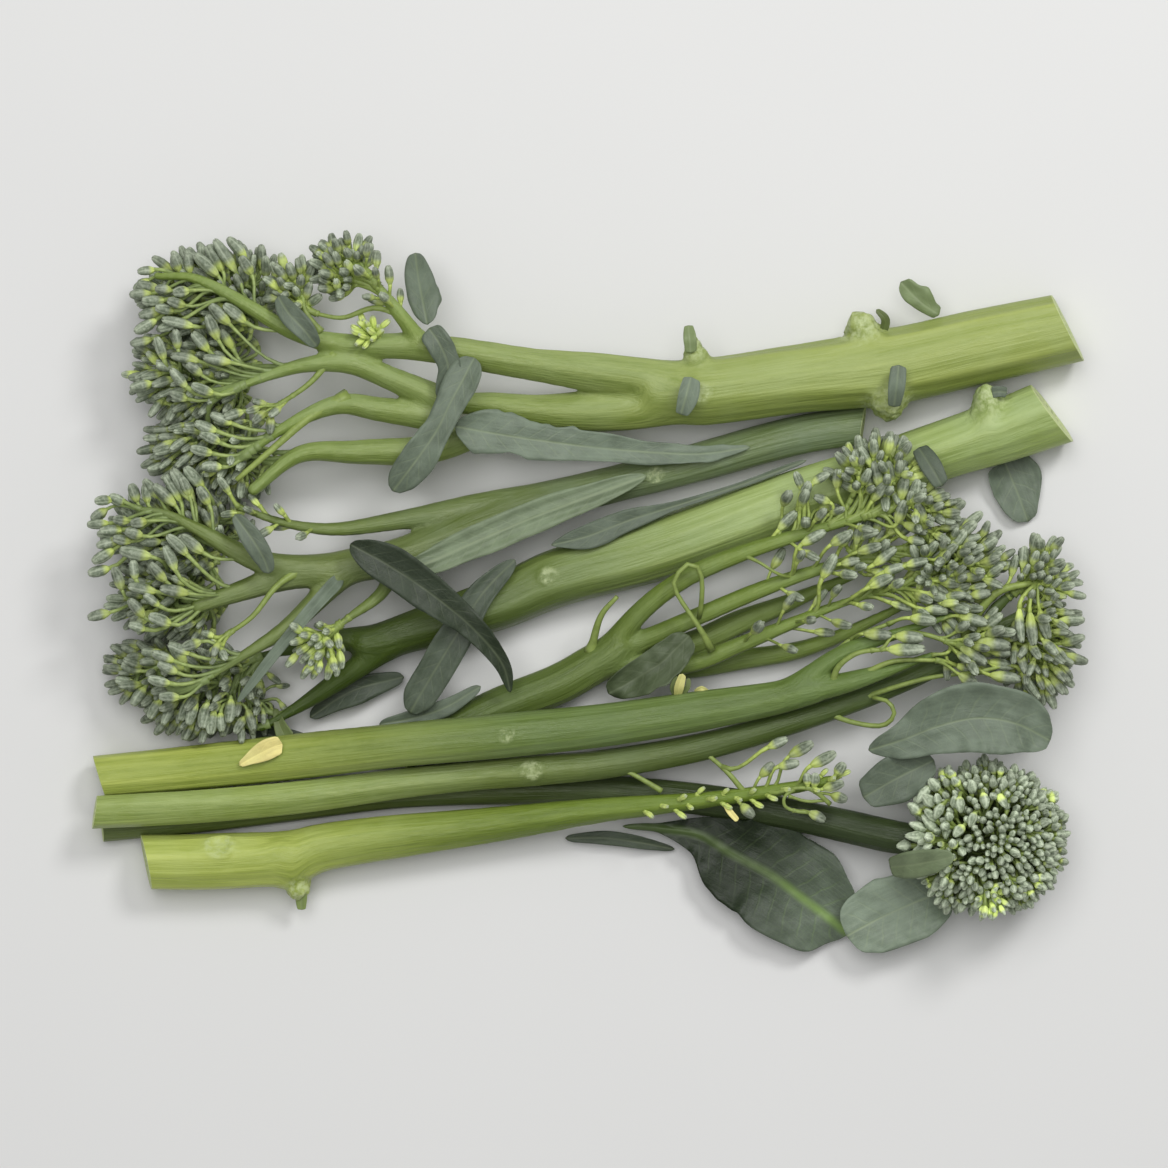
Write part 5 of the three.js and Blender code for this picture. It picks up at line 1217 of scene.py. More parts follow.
def blade_points(spine, cup=0.25, wave=0.15, rib=0.0, ragged=0.06, full=0.25, twist=0.0,
                 rumple=1.0, pleats=0.0, thickness=0.6, along=44, across=14, seed=0, **_):
    """Both faces of a leaf (along + 1, across + 1, 3), their places on it and its length."""
    route = Route(spine)
    u = np.linspace(0, 1, along + 1)
    s = u * route.length
    centre, tangent = route.at(s), unit(route.at(s, "tangent"))
    side = unit(np.cross(tangent, UP))
    lift = np.cross(side, tangent)
    turn = (twist * (u - 0.5))[:, None]
    cos, sin = np.cos(turn), np.sin(turn)
    side, lift = side * cos + lift * sin, lift * cos - side * sin
    half = route.at(s, "radius") * 1.03
    half = half ** (1 - full) * half.max() ** full
    tips = np.sqrt(1 - (1 - np.clip(np.minimum(u, 1 - u) / 0.1, 0, 1)) ** 2)
    half = half * (0.1 + 0.9 * tips)
    v = np.linspace(-1, 1, across + 1)
    edge, outward = np.abs(v)[None], np.sign(v)[None]
    far = outward * 40.0  # keeps the two edges' noise apart
    nicks = ease(0.1, 0.7, soft_noise(seed + 30, s[:, None] * 0.3 + far))
    rough = ragged * (1.5 * soft_noise(seed, s[:, None] * 0.2 + far)
                      + 0.8 * nicks * soft_noise(seed + 40, s[:, None] * 0.9 + far))
    width = half[:, None] * v[None] * (1 + rough * edge ** 2)
    ripple = wave * edge ** 1.6 * soft_noise(seed + 60, s[:, None] * 0.6 + far, width * 0.3) * 2.2
    crumple = 0.13 * rumple * soft_noise(seed + 120, s[:, None], width * 1.4)
    pleat = 0.22 * pleats * np.cos(width * 2.6 + 0.3 * np.sin(s[:, None] / 5)) * (1 - edge ** 4)
    veins = leaf_veins(u[:, None], v[None], route.length)
    room = ease(0, 1.6, half)[:, None]
    rise = cup * half[:, None] * (0.35 * edge + 0.65 * edge ** 2)
    rise = rise + (ripple + crumple + pleat) * room
    groove = np.exp(-(width / 0.45) ** 2)
    top = rise - 0.12 * groove * room + 0.05 * (veins - 0.5) * room * edge
    keel = (0.25 + rib * 0.5) * groove * room * np.clip(1.1 - u, 0.15, 1)[:, None]
    thin = thickness * (1 - 0.55 * edge ** 2) * (0.45 + 0.55 * tips)[:, None]
    if rib:
        top = top + rib * 0.55 * groove * room * np.clip(1.15 - u, 0.1, 1)[:, None]
    place = centre[:, None] + side[:, None] * width[..., None]
    upper = place + lift[:, None] * (top + thin / 2)[..., None]
    lower = place + lift[:, None] * (rise - thin / 2 - keel)[..., None]
    for face, floor in ((upper, 0.3), (lower, 0.05)):
        face[:] = np.clip(face, room_box[0] + 0.05, room_box[1] - 0.05)
        face[..., 2] = np.maximum(face[..., 2], floor)
    leaf_place = np.stack(np.broadcast_arrays(
        u[:, None], v[None], half[:, None] * np.ones_like(v)[None]), axis=-1)
    return upper, lower, leaf_place, route.length


def leaf_veins(u, v, size):
    """Height of the side veins, 0 in the field and 1 on a vein."""
    count = max(3, round(size / 3.2))
    phase = (u * count - np.abs(v) * 1.3) % 1
    return np.exp(-((phase - 0.5) / 0.11) ** 2)


def leaf_mesh(name, leaf, seed, thickness):
    """A leaf as one closed mesh, with its rim rounded off."""
    form = {key: value for key, value in leaf.items() if key != "spine"}
    spine = np.array(leaf["spine"], float)
    size = np.linalg.norm(np.diff(spine[:, :3], axis=0), axis=1).sum()
    along = int(np.clip(size * 2, 20, 90))
    across = 2 * int(np.clip(spine[:, 3].max() * 1.6, 4, 15))
    upper, lower, leaf_place, size = blade_points(
        leaf["spine"], thickness=thickness / MM, seed=seed, along=along, across=across, **form)
    rows, columns = upper.shape[:2]
    grid = np.arange(rows * columns).reshape(rows, columns)
    a, b, c, d = grid[:-1, :-1], grid[:-1, 1:], grid[1:, 1:], grid[1:, :-1]
    top = np.stack([a, b, c, d], axis=-1).reshape(-1, 4)
    size_one = rows * columns
    bottom = np.stack([a, d, c, b], axis=-1).reshape(-1, 4) + size_one
    loop = np.concatenate([grid[0, :-1], grid[:-1, -1], grid[-1, :0:-1], grid[:0:-1, 0]])
    after = np.roll(loop, -1)
    rim = np.stack([loop, loop + size_one, after + size_one, after], axis=1)
    points = np.concatenate([upper.reshape(-1, 3), lower.reshape(-1, 3)])
    places = np.tile(leaf_place.reshape(-1, 3), (2, 1))
    under = np.repeat((0.0, 1.0), size_one)
    mesh = bpy.data.meshes.new(name)
    fill_mesh(mesh, points, np.vstack([top, bottom, rim]), np.zeros((0, 3), int), {
        "leaf_place": places, "under": under, "span": np.full(len(points), size)})
    return mesh


# ---- shader parts


class Wiring:
    """Adds nodes to one node tree and links them."""

    def __init__(self, tree):
        self.tree = tree

    def node(self, kind, **settings):
        """A new node with these settings and socket values."""
        node = self.tree.nodes.new(kind)
        inputs = settings.pop("inputs", {})
        for key, value in settings.items():
            setattr(node, key, value)
        for key, value in inputs.items():
            self.feed(node.inputs[key], value)
        return node

    def feed(self, socket, value):
        """Links a socket into this one, or sets its value."""
        if isinstance(value, bpy.types.NodeSocket):
            self.tree.links.new(value, socket)
        else:
            socket.default_value = value

    def math(self, operation, a, b=0.0, clamp=False):
        """One sum on numbers."""
        node = self.node("ShaderNodeMath", operation=operation, use_clamp=clamp)
        self.feed(node.inputs[0], a)
        self.feed(node.inputs[1], b)
        return node.outputs[0]

    def times(self, a, b, clamp=False):
        """The product of two numbers."""
        return self.math("MULTIPLY", a, b, clamp)

    def plus(self, a, b):
        """The sum of two numbers."""
        return self.math("ADD", a, b)

    def minus(self, a, b):
        """The difference of two numbers."""
        return self.math("SUBTRACT", a, b)

    def mix(self, share, a, b, blend="MIX"):
        """A mix of two colours."""
        node = self.node("ShaderNodeMix", data_type="RGBA", blend_type=blend)
        self.feed(node.inputs["Factor"], share)
        self.feed(node.inputs[6], a)
        self.feed(node.inputs[7], b)
        return node.outputs[2]

    def scale(self, vector, factors):
        """A vector times three factors."""
        node = self.node("ShaderNodeVectorMath", operation="MULTIPLY")
        self.feed(node.inputs[0], vector)
        self.feed(node.inputs[1], factors)
        return node.outputs[0]

    def noise(self, vector, scale, detail=3.0, rough=0.55):
        """Soft random values from 0 to 1."""
        node = self.node("ShaderNodeTexNoise", inputs={
            "Vector": vector, "Scale": scale, "Detail": detail, "Roughness": rough})
        return node.outputs[0]

    def step(self, value, low, high, to_low=0.0, to_high=1.0):
        """A soft step from one value to another."""
        node = self.node("ShaderNodeMapRange", interpolation_type="SMOOTHSTEP", inputs={
            "Value": value, "From Min": low, "From Max": high, "To Min": to_low,
            "To Max": to_high})
        return node.outputs[0]

    def value_of(self, name, field="Fac"):
        """A value that the mesh keeps for each point."""
        return self.node("ShaderNodeAttribute", attribute_name=name).outputs[field]


def start_group(name, inputs, outputs):
    """A new node group with these sockets, its wiring and its two ends."""
    group = bpy.data.node_groups.new(name, "ShaderNodeTree")
    kinds = {"c": "NodeSocketColor", "f": "NodeSocketFloat", "v": "NodeSocketVector"}
    for label, kind, value in inputs:
        socket = group.interface.new_socket(label, in_out="INPUT", socket_type=kinds[kind])
        if value is not None:
            socket.default_value = value
    for label, kind in outputs:
        group.interface.new_socket(label, in_out="OUTPUT", socket_type=kinds[kind])
    wiring = Wiring(group)
    return (
        group, wiring, wiring.node("NodeGroupInput").outputs, wiring.node("NodeGroupOutput").inputs)


def bloom_group():
    """Waxy bloom: a thin pale veil in soft patches."""
    group, w, given, out = start_group("Waxy bloom", [
        ("Place", "v", None), ("Colour", "c", (0.2, 0.3, 0.1, 1)),
        ("Bloom colour", "c", (0.5, 0.55, 0.5, 1)), ("Amount", "f", 0.3),
        ("Patch scale", "f", 0.5)], [("Colour", "c"), ("Mask", "f")])
    patches = w.noise(given["Place"], given["Patch scale"], 4, 0.6)
    mask = w.step(patches, 0.35, 0.75)
    share = w.times(mask, given["Amount"])
    w.feed(out["Colour"], w.mix(share, given["Colour"], given["Bloom colour"]))
    w.feed(out["Mask"], mask)
    return group


def streak_group():
    """Lengthwise streaks of a stem, fine and broad, with a few nicks."""
    group, w, given, out = start_group("Stem streaks", [
        ("Grain", "v", None), ("Body", "c", (0.3, 0.4, 0.15, 1)),
        ("Streak", "c", (0.2, 0.3, 0.1, 1)), ("Strength", "f", 0.6), ("Fineness", "f", 1.0)],
        [("Colour", "c"), ("Height", "f")])
    fine_place = w.node("ShaderNodeVectorMath", operation="SCALE")
    w.feed(fine_place.inputs[0], w.scale(given["Grain"], (1.3, 1.3, 0.045)))
    w.feed(fine_place.inputs["Scale"], given["Fineness"])
    fine = w.noise(fine_place.outputs[0], 1.5, 5, 0.62)
    broad = w.noise(w.scale(given["Grain"], (0.34, 0.34, 0.016)), 1.3, 3, 0.5)
    mottle = w.noise(w.scale(given["Grain"], (0.6, 0.6, 0.25)), 1.1, 3, 0.6)
    lines = w.step(fine, 0.43, 0.63)
    patches = w.step(broad, 0.41, 0.61)
    both = w.plus(w.times(lines, 0.5), w.times(patches, 0.5))
    mixed = w.plus(both, w.times(w.minus(mottle, 0.5), 0.5))
    share = w.times(mixed, given["Strength"], clamp=True)
    w.feed(out["Colour"], w.mix(share, given["Body"], given["Streak"]))
    w.feed(out["Height"], w.minus(fine, w.times(mottle, 0.3)))
    return group


def bud_group():
    """A bud from its bright base over its dusty flanks to its pale tip and sepal edges."""
    group, w, given, out = start_group("Bud skin", [
        ("Rise", "f", 0.5), ("Lobe", "f", 1.0), ("Tint", "f", 0.5), ("Place", "v", None),
        ("Base", "c", (0.5, 0.6, 0.15, 1)), ("Body", "c", (0.1, 0.15, 0.1, 1)),
        ("Tip", "c", (0.3, 0.4, 0.3, 1)), ("Base reach", "f", 0.3)],
        [("Colour", "c"), ("Height", "f")])
    shift = w.times(w.minus(given["Tint"], 0.5), 0.25)
    green = w.step(given["Tint"], 0.9, 1.0, 0.0, 0.62)
    shift = w.minus(shift, green)
    level = w.minus(w.plus(given["Rise"], shift), given["Base reach"])
    base_share = w.step(level, -0.14, 0.16, 1.0, 0.0)
    grain = w.noise(given["Place"], 1.6, 4, 0.6)
    pale = w.times(w.step(grain, 0.42, 0.7), 0.45)
    body = w.mix(pale, given["Body"], given["Tip"])
    edge = w.times(w.step(given["Lobe"], 0.55, 0.0), 0.55)
    body = w.mix(edge, body, given["Tip"])
    body = w.mix(w.times(w.step(given["Rise"], 0.8, 1.0), 0.6), body, given["Tip"])
    coloured = w.mix(base_share, body, given["Base"])
    bright = w.step(given["Tint"], 0.0, 1.0, 0.72, 1.2)
    grey = w.node("ShaderNodeCombineColor", inputs={"Red": bright, "Green": bright, "Blue": bright})
    w.feed(out["Colour"], w.mix(1.0, coloured, grey.outputs[0], "MULTIPLY"))
    w.feed(out["Height"], w.plus(grain, given["Lobe"]))
    return group


def leaf_group():
    """A leaf's field between its midrib and side veins."""
    group, w, given, out = start_group("Leaf skin", [
        ("Leaf place", "v", None), ("Span", "f", 30.0), ("Place", "v", None),
        ("Field", "c", (0.2, 0.25, 0.15, 1)), ("Shade", "c", (0.1, 0.15, 0.08, 1)),
        ("Vein", "c", (0.4, 0.45, 0.3, 1)), ("Midrib", "f", 0.4), ("Rib strength", "f", 0.5)],
        [("Colour", "c"), ("Height", "f")])
    parts = w.node("ShaderNodeSeparateXYZ")
    w.feed(parts.inputs[0], given["Leaf place"])
    u, v, half = parts.outputs
    edge = w.math("ABSOLUTE", v)
    off_rib = w.times(edge, half)
    rib = w.step(off_rib, 0.0, given["Midrib"], 1.0, 0.0)
    count = w.math("MAXIMUM", w.math("ROUND", w.math("DIVIDE", given["Span"], 3.2)), 3.0)
    wobble = w.times(w.noise(given["Place"], 0.35, 2), 0.35)
    phase = w.minus(w.times(u, count), w.times(edge, 1.3))
    phase = w.math("FRACT", w.plus(phase, wobble))
    side = w.step(w.math("ABSOLUTE", w.minus(phase, 0.62)), 0.02, 0.1, 1.0, 0.0)
    side = w.times(side, w.step(edge, 0.98, 0.5, 0.0, 1.0))
    net = w.node("ShaderNodeTexVoronoi", feature="DISTANCE_TO_EDGE", inputs={
        "Vector": given["Place"], "Scale": 1.1})
    mesh_line = w.step(net.outputs[0], 0.0, 0.09, 1.0, 0.0)
    run = w.node("ShaderNodeCombineXYZ", inputs={
        "X": w.times(w.times(u, given["Span"]), 0.12),
        "Y": w.times(w.times(v, half), 1.1)})
    lengthwise = w.noise(run.outputs[0], 1.2, 4, 0.6)
    blotch = w.noise(given["Place"], 0.24, 4, 0.6)
    both = w.plus(w.times(lengthwise, 0.5), w.times(blotch, 0.5))
    mottle = w.step(both, 0.38, 0.64)
    field = w.mix(w.times(mottle, 0.62), given["Field"], given["Shade"])
    veined = w.math("MAXIMUM", w.times(side, 0.2), w.times(mesh_line, 0.1))
    veined = w.math("MAXIMUM", veined, w.times(rib, given["Rib strength"]))
    w.feed(out["Colour"], w.mix(veined, field, given["Vein"]))
    relief = w.minus(w.times(mottle, 0.3), w.times(veined, 0.8))
    w.feed(out["Height"], relief)
    return group


GROUPS = {}


def shared_group(build):
    """The node group that build makes, made once."""
    if build not in GROUPS:
        GROUPS[build] = build()
    return GROUPS[build]


def start_material(name, roughness, specular=0.5):
    """A material with its shader, wiring and the place in millimetres."""
    material = bpy.data.materials.new(name)
    material.use_nodes = True
    tree = material.node_tree
    shader = tree.nodes["Principled BSDF"]
    shader.inputs["Roughness"].default_value = roughness
    shader.inputs["Specular IOR Level"].default_value = specular
    w = Wiring(tree)
    place = w.scale(w.node("ShaderNodeTexCoord").outputs["Object"], (1000.0, 1000.0, 1000.0))
    return material, w, shader, place


def use_group(w, build, **values):
    """Places a shared group in a material; underscores stand for spaces in socket names."""
    node = w.node("ShaderNodeGroup", node_tree=shared_group(build))
    for key, value in values.items():
        w.feed(node.inputs[key.replace("_", " ")], value)
    return node.outputs


def bump(w, shader, height, distance, strength=0.6):
    """Fine relief from a height."""
    node = w.node("ShaderNodeBump", inputs={
        "Height": height, "Distance": distance, "Strength": strength})
    w.feed(shader.inputs["Normal"], node.outputs[0])


def tinted(w, colour, factors):
    """A colour times three factors."""
    return w.mix(1.0, colour, (*factors, 1), "MULTIPLY")


def stem_material(name, near, far, scar, turn):
    """Skin of a stem: streaks, painted facet light and shade, a painted highlight on the ridge
    crests, bloom and leaf scars, and another green near the buds.
    """
    material, w, shader, place = start_material(name, 0.42, 0.4)
    grain = w.value_of("grain", "Vector")
    girth = w.value_of("girth")
    body = w.mix(w.step(w.value_of("reach"), *turn), near, far)
    # painted facet light and shade: a lighter copy of the green on one side of each broad crest and
    # a darker copy on the other
    body = w.mix(w.times(w.value_of("facet_light_and_shade"), 0.5), tinted(w, body, (1.1, 1.08, 1.16)),
                 tinted(w, body, (0.72, 0.75, 0.5)))
    streak = tinted(w, body, (0.62, 0.68, 0.42))
    fineness = w.step(girth, 1.0, 6.0, 1.7, 0.8)
    streaks = use_group(w, streak_group, Grain=grain, Body=body, Streak=streak, Fineness=fineness,
                        Strength=w.step(girth, 3.0, 6.5, 0.9, 0.6))
    slim = w.step(girth, 3.0, 1.0, 0.0, 0.5)
    limb = w.mix(slim, streaks["Colour"], tinted(w, body, (0.86, 0.98, 0.55)))
    # painted highlight along the ridge crests
    crest_highlight = tinted(w, body, (1.32, 1.26, 1.35))
    highlighted = w.mix(w.times(w.value_of("ridge_highlight"), 0.6), limb, crest_highlight)
    pale = tinted(w, body, (1.15, 1.15, 1.7))
    bloomed = use_group(w, bloom_group, Place=place, Colour=highlighted, Bloom_colour=pale, Amount=0.4,
                        Patch_scale=0.09)
    torn = w.step(w.noise(place, 0.8, 4, 0.65), 0.36, 0.62)
    share = w.times(w.times(w.value_of("scar"), torn), 0.72)
    scarred = w.mix(share, bloomed["Colour"], scar)
    w.feed(shader.inputs["Base Color"], scarred)
    w.feed(shader.inputs["Roughness"], w.step(bloomed["Mask"], 0.0, 1.0, 0.34, 0.5))
    bump(w, shader, streaks["Height"], 0.0006, 0.45)
    return material


def pith_material(pith):
    """A cut end: a pale pith with a ring of strings under the skin."""
    material, w, shader, place = start_material("cut end", 0.55, 0.35)
    depth = w.value_of("pith")
    speckle = w.noise(place, 1.6, 4, 0.65)
    ring = w.step(w.math("ABSOLUTE", w.minus(depth, 0.24)), 0.03, 0.09, 1.0, 0.0)
    strings = w.times(ring, w.step(speckle, 0.45, 0.6))
    ring_colour = shaded(pith, 0.62)
    base = w.mix(w.step(depth, 0.15, 0.7), pith, shaded(pith, 1.12))
    mottled = w.mix(w.times(w.step(speckle, 0.4, 0.7), 0.25), base, ring_colour)
    w.feed(shader.inputs["Base Color"], w.mix(strings, mottled, ring_colour))
    bump(w, shader, speckle, 0.0004, 0.5)
    return material


def bud_material(name, settings, reach=0.26, dim=1.0):
    """Skin of the buds."""
    material, w, shader, place = start_material(name, 0.5, 0.35)
    base, body, tip = (
        shaded(value, dim) for value in (settings.base, settings.body, settings.tip))
    skin = use_group(w, bud_group, Rise=w.value_of("rise"), Lobe=w.value_of("lobe"),
                     Tint=w.value_of("tint"), Place=place, Base=base, Body=body, Tip=tip,
                     Base_reach=reach)
    bloomed = use_group(w, bloom_group, Place=place, Colour=skin["Colour"], Amount=0.3,
                        Bloom_colour=shaded(tip, 1.25, 0.03), Patch_scale=0.6)
    w.feed(shader.inputs["Base Color"], bloomed["Colour"])
    bump(w, shader, skin["Height"], 0.00025, 0.5)
    return material


def pedicel_material(name, near, far):
    """Skin of the thin stems, from the limb's green to the bud's base."""
    material, w, shader, place = start_material(name, 0.45, 0.4)
    rise, tint = w.value_of("rise"), w.value_of("tint")
    speckle = w.noise(place, 0.9, 3)
    level = w.plus(rise, w.times(w.minus(tint, 0.5), 0.5))
    run = w.mix(w.step(level, 0.2, 1.0), near, far)
    dark = w.times(w.step(speckle, 0.4, 0.7), 0.5)
    w.feed(shader.inputs["Base Color"], w.mix(dark, run, shaded(near, 0.6)))
    bump(w, shader, speckle, 0.0002, 0.4)
    return material


def leaf_material(name, field, vein, midrib, strength=0.5, tip=None):
    """Skin of a leaf, paler on its lower face and with a tip of its own where it has one."""
    material, w, shader, place = start_material(name, 0.52, 0.35)
    under = w.value_of("under")
    leaf_place = w.value_of("leaf_place", "Vector")
    body, rib = field, vein
    if tip:
        parts = w.node("ShaderNodeSeparateXYZ")
        w.feed(parts.inputs[0], leaf_place)
        to_tip = w.step(parts.outputs[0], 0.45, 1.0)
        body = w.mix(to_tip, field, tip)
        rib = w.mix(to_tip, vein, shaded(vein, 3))
    skin = use_group(w, leaf_group, Leaf_place=leaf_place, Span=w.value_of("span"), Place=place,
                     Field=body, Shade=tinted(w, body, (0.62, 0.62, 0.62)), Vein=rib,
                     Midrib=midrib, Rib_strength=strength)
    pale = shaded(field, 1.35, 0.035)
    bloomed = use_group(w, bloom_group, Place=place, Colour=skin["Colour"], Bloom_colour=pale,
                        Amount=0.4, Patch_scale=0.16)
    lower = w.mix(w.times(under, 0.5), bloomed["Colour"], pale)
    w.feed(shader.inputs["Base Color"], lower)
    w.feed(shader.inputs["Roughness"], w.step(bloomed["Mask"], 0.0, 1.0, 0.45, 0.6))
    bump(w, shader, skin["Height"], 0.0003, 0.5)
    return material


# ---- one store for what operators share

room = Room()
routes_of = {name: stem_routes(stalk) for name, stalk in STALKS.items()}
for routes in routes_of.values():
    for route in routes.values():
        room.add_fixed(route.place, route.radius)
for leaf in LEAVES:
    blade_route = Route(leaf["spine"])
    for share in (-0.8, -0.4, 0, 0.4, 0.8):
        strip = blade_route.place + blade_route.side * (blade_route.radius * share)[:, None]
        for level in (0, 1, 2.5, 4) if leaf.get("open") else (0,):
            room.add_fixed(strip + UP * level, np.full(len(strip), 0.6 + 0.15 * level))


def limbs_of(stalk, *names):
    """The named routes of a stalk."""
    return [routes_of[stalk][name] for name in names]


def finish_buds(name, buds, materials, slots, nodes, profile=LONG_PROFILE, pedicel=0.7, fine=True):
    """Adds the buds of a group and the thin stems that carry them as two pieces."""
    bud_skin, thin_skin = materials
    mesh = bud_mesh(name + "_buds", buds, profile, 12 if fine else 8)
    add_piece(name + "_buds", mesh, [bud_skin], slots[0], *nodes)
    mesh = pedicel_mesh(name + "_pedicels", buds, pedicel, 5 if fine else 4, 7 if fine else 5)
    add_piece(name + "_pedicels", mesh, [thin_skin], slots[1], *nodes)


# ---- operators


class BROCCOLI_OT_stems(bpy.types.Operator):
    """Build the eight stems with their limbs, scars and cut ends."""
    bl_idname = "broccoli.stems"
    bl_label = "Stems"

    def execute(self, context):
        form = context.scene.broccoli_stems
        pith = pith_material(tuple(form.cut_face))
        for seed, (name, stalk) in enumerate(STALKS.items()):
            skin = stem_material(name + " skin", linear(stalk["near"]), linear(stalk["far"]),
                                 tuple(form.scar), stalk.get("turn", (0.1, 0.85)))
            mesh = build_stem(name, stalk, form, seed)
            add_piece(name + "_stem", mesh, [skin, pith], stalk["slot"], name)
        return {"FINISHED"}


class BROCCOLI_OT_loose_heads(bpy.types.Operator):
    """Build the loose heads of long buds on the left: heads 1, 2 and 3."""
    bl_idname = "broccoli.loose_heads"
    bl_label = "Loose heads"

    def execute(self, context):
        form = context.scene.broccoli_buds
        size, width = form.long_length / MM, form.long_width / MM
        skins = (bud_material("long buds", form, 0.32), pedicel_material(
            "bud stems", linear((128, 146, 88)), linear((164, 182, 108))))
        for seed, (name, head) in enumerate(LOOSE_HEADS.items()):
            limbs = [routes_of[stalk][limb] for stalk, limb in head["limbs"]]
            buds = Buds(room, limbs, 60 + seed)
            buds.brightest = head.get("brightest", 1.0)
            buds.branch_shell(head["lumps"], head["branches"], head["edge"])
            buds.hero(head["heroes"], head["shift"], width * 1.04,
                      tints=head.get("tints", (0.15, 0.9)))
            lumps = np.array(head["lumps"])
            for level, spacing in ((1.0, 2.0), (0.74, 2.3)):
                for k, lump in enumerate(lumps):
                    others = np.delete(lumps, k, axis=0) if level == 1 else ()
                    buds.shell(lump[:3], lump[3:], spacing, head["anchor"], size * 0.74,
                               width * 0.82, others=others, level=level, edge=head["edge"])
            finish_buds(name, buds, skins, ("buds", "stem_mid"), [name],
                        pedicel=form.pedicel / MM)
        return {"FINISHED"}


class BROCCOLI_OT_sprays(bpy.types.Operator):
    """Build the loose sprays of buds at the ends of the limbs."""
    bl_idname = "broccoli.sprays"
    bl_label = "Sprays"

    def execute(self, context):
        form = context.scene.broccoli_buds
        size, width = form.long_length / MM, form.long_width / MM
        skins = (bud_material("spray buds", form, 0.42), pedicel_material(
            "spray bud stems", linear((138, 156, 82)), linear((184, 202, 106))))
        thin = form.pedicel / MM

        shoot = Buds(room, limbs_of("stalk_1", "shoot", "upper"), 71, "stalk_1")
        shoot.branch_shell([[-46.4, 61.4, 17.6, 5, 5.4, 3.4]], 12, reach=6)
        shoot.cloud((-45.4, 62.6, 18), (4.4, 5.2, 3), 60, (-41, 55, 16), 3.4, 1.7)
        shoot.cloud((-54.6, 58.6, 17), (4.4, 4, 3), 34, (-52, 52, 14), 3.8, 1.8)
        shoot.spray(routes_of["stalk_1"]["shoot"], 14, 0.3, 3, 3.4, 1.7)
        shoot.cloud((-60, 36, 18), (2.6, 2, 1.6), 8, (-56, 39, 17), 3.2, 1.6)
        shoot.cloud((-40.6, 50.6, 18.6), (2.4, 1.8, 1.2), 18, (-38, 48, 16), 2.4, 1.25, tint=1.0)
        finish_buds("stalk_1", shoot, skins, ("buds", "stem_light"), ["stalk_1"], pedicel=thin)

        grey = Buds(room, limbs_of("stalk_2", "shoot", "grey"), 72, "stalk_2")
        grey.branch_shell([[-50.6, -8.4, 17, 4.4, 4.4, 3]], 8, reach=5)
        grey.cloud((-50.6, -8.4, 17), (4.4, 4.4, 3), 40, (-45, -3, 14), 3.4, 1.6, tint=0.95)
        grey.spray(routes_of["stalk_2"]["grey"], 8, 0.75, 3, 3.8, 1.7)
        grey.cloud((-69.4, -8.2, 18), (1.9, 1.9, 1.2), 7, (-65, -4, 17), 2.8, 1.5)
        finish_buds("stalk_2", grey, skins, ("buds", "stem_mid"), ["stalk_2"], pedicel=thin)

        right = Buds(room, limbs_of("stalk_4", "upper", "middle", "lower"), 73, "stalk_4")
        right.branch_shell([[56, 22.6, 15.4, 9, 5, 4]], 16, level=0.8, reach=8)
        right.branch_shell([[68, 8, 14.6, 8.4, 6, 4], [55, 8, 14, 9, 5, 3]], 14, level=0.7)
        right.hero(STALK_4_BUDS, width=width)
        for limb, count, start in (("upper", 9, 0.5), ("middle", 14, 0.42), ("lower", 16, 0.4)):
            right.spray(routes_of["stalk_4"][limb], count, start, 5.6, size * 0.76,
                        width * 0.9, 0.7)
        right.cloud((56, 24.2, 16), (8.6, 4.6, 3.4), 60, (54, 12, 12), size * 0.72, width * 0.86,
                    wild=0.5, hollow=0.5)
        right.cloud((64.6, 16.4, 16.2), (4.4, 5, 3.6), 40, (56, 14, 13), size * 0.6, width * 0.8,
                    wild=0.5)
        right.cloud((70, 7, 14.6), (8, 6, 4), 84, (60, 1, 12), size * 0.72, width * 0.84,
                    wild=0.45, hollow=0.4)
        right.cloud((55, 8.6, 13.6), (9, 5, 2), 18, (44, 2, 12), size * 0.84, width * 0.9)
        right.cloud((67.5, -0.4, 14.4), (6, 4, 3), 22, (58, -1, 12), size * 0.8, width * 0.9)
        right.cloud((44, 17, 14.4), (8, 4.6, 2), 8, (36, 10, 12), size * 0.78, width * 0.9)
        finish_buds("stalk_4", right, skins, ("buds", "stem_deep"), ["stalk_4"], pedicel=thin)

        lower = Buds(room, limbs_of("stalk_5", "upper", "lower"), 74, "stalk_5")
        lower.hero(STALK_5_BUDS, width=width * 1.08)
        lower.cloud((73, -8.6, 15.6), (6, 5, 2.6), 22, (64, -9, 13), size * 0.84, width * 0.95)
        finish_buds("stalk_5", lower, skins, ("buds", "stem_light"), ["stalk_5"], pedicel=thin)

        tip = Buds(room, limbs_of("stalk_6", "stem", "tip"), 75, "stalk_6")
        tip.branch_shell([[86, 5, 13.6, 4.6, 4.6, 3.4]], 9, reach=5)
        tip.hero(STALK_6_BUDS, width=width * 0.88)
        tip.cloud((86, 5, 14), (4.8, 4.6, 3.4), 44, (79, -1, 11), size * 0.66, width * 0.8,
                  hollow=0.4)
        finish_buds("stalk_6", tip, skins, ("buds", "stem_mid"), ["stalk_6"], pedicel=thin)

        head = Buds(room, limbs_of("stalk_6", "stem", "tip"), 76)
        head.brightest = 0.7
        lump = np.array((85.6, -7.6, 13, 5, 9.5, 5.5))
        head.branch_shell([lump], 14, reach=6)
        for level, spacing in ((1.0, 2.1), (0.7, 2.4)):
            head.shell(lump[:3], lump[3:], spacing, (79, 1, 12), size * 0.76, width * 0.86,
                       level=level)
        finish_buds("head_6", head, skins, ("buds", "stem_mid"), ["head_6"], pedicel=thin)

        side = Buds(room, limbs_of("stalk_8", "stem"), 77, "stalk_8")
        side.hero(STALK_8_BUDS, width=width * 1.05)
        side.spray(routes_of["stalk_8"]["stem"], 34, 0.72, 2.2, size * 0.38, width * 0.5, 0.9, 1.0)
        finish_buds("stalk_8", side, skins, ("buds", "stem_light"), ["stalk_8"], pedicel=thin)
        return {"FINISHED"}


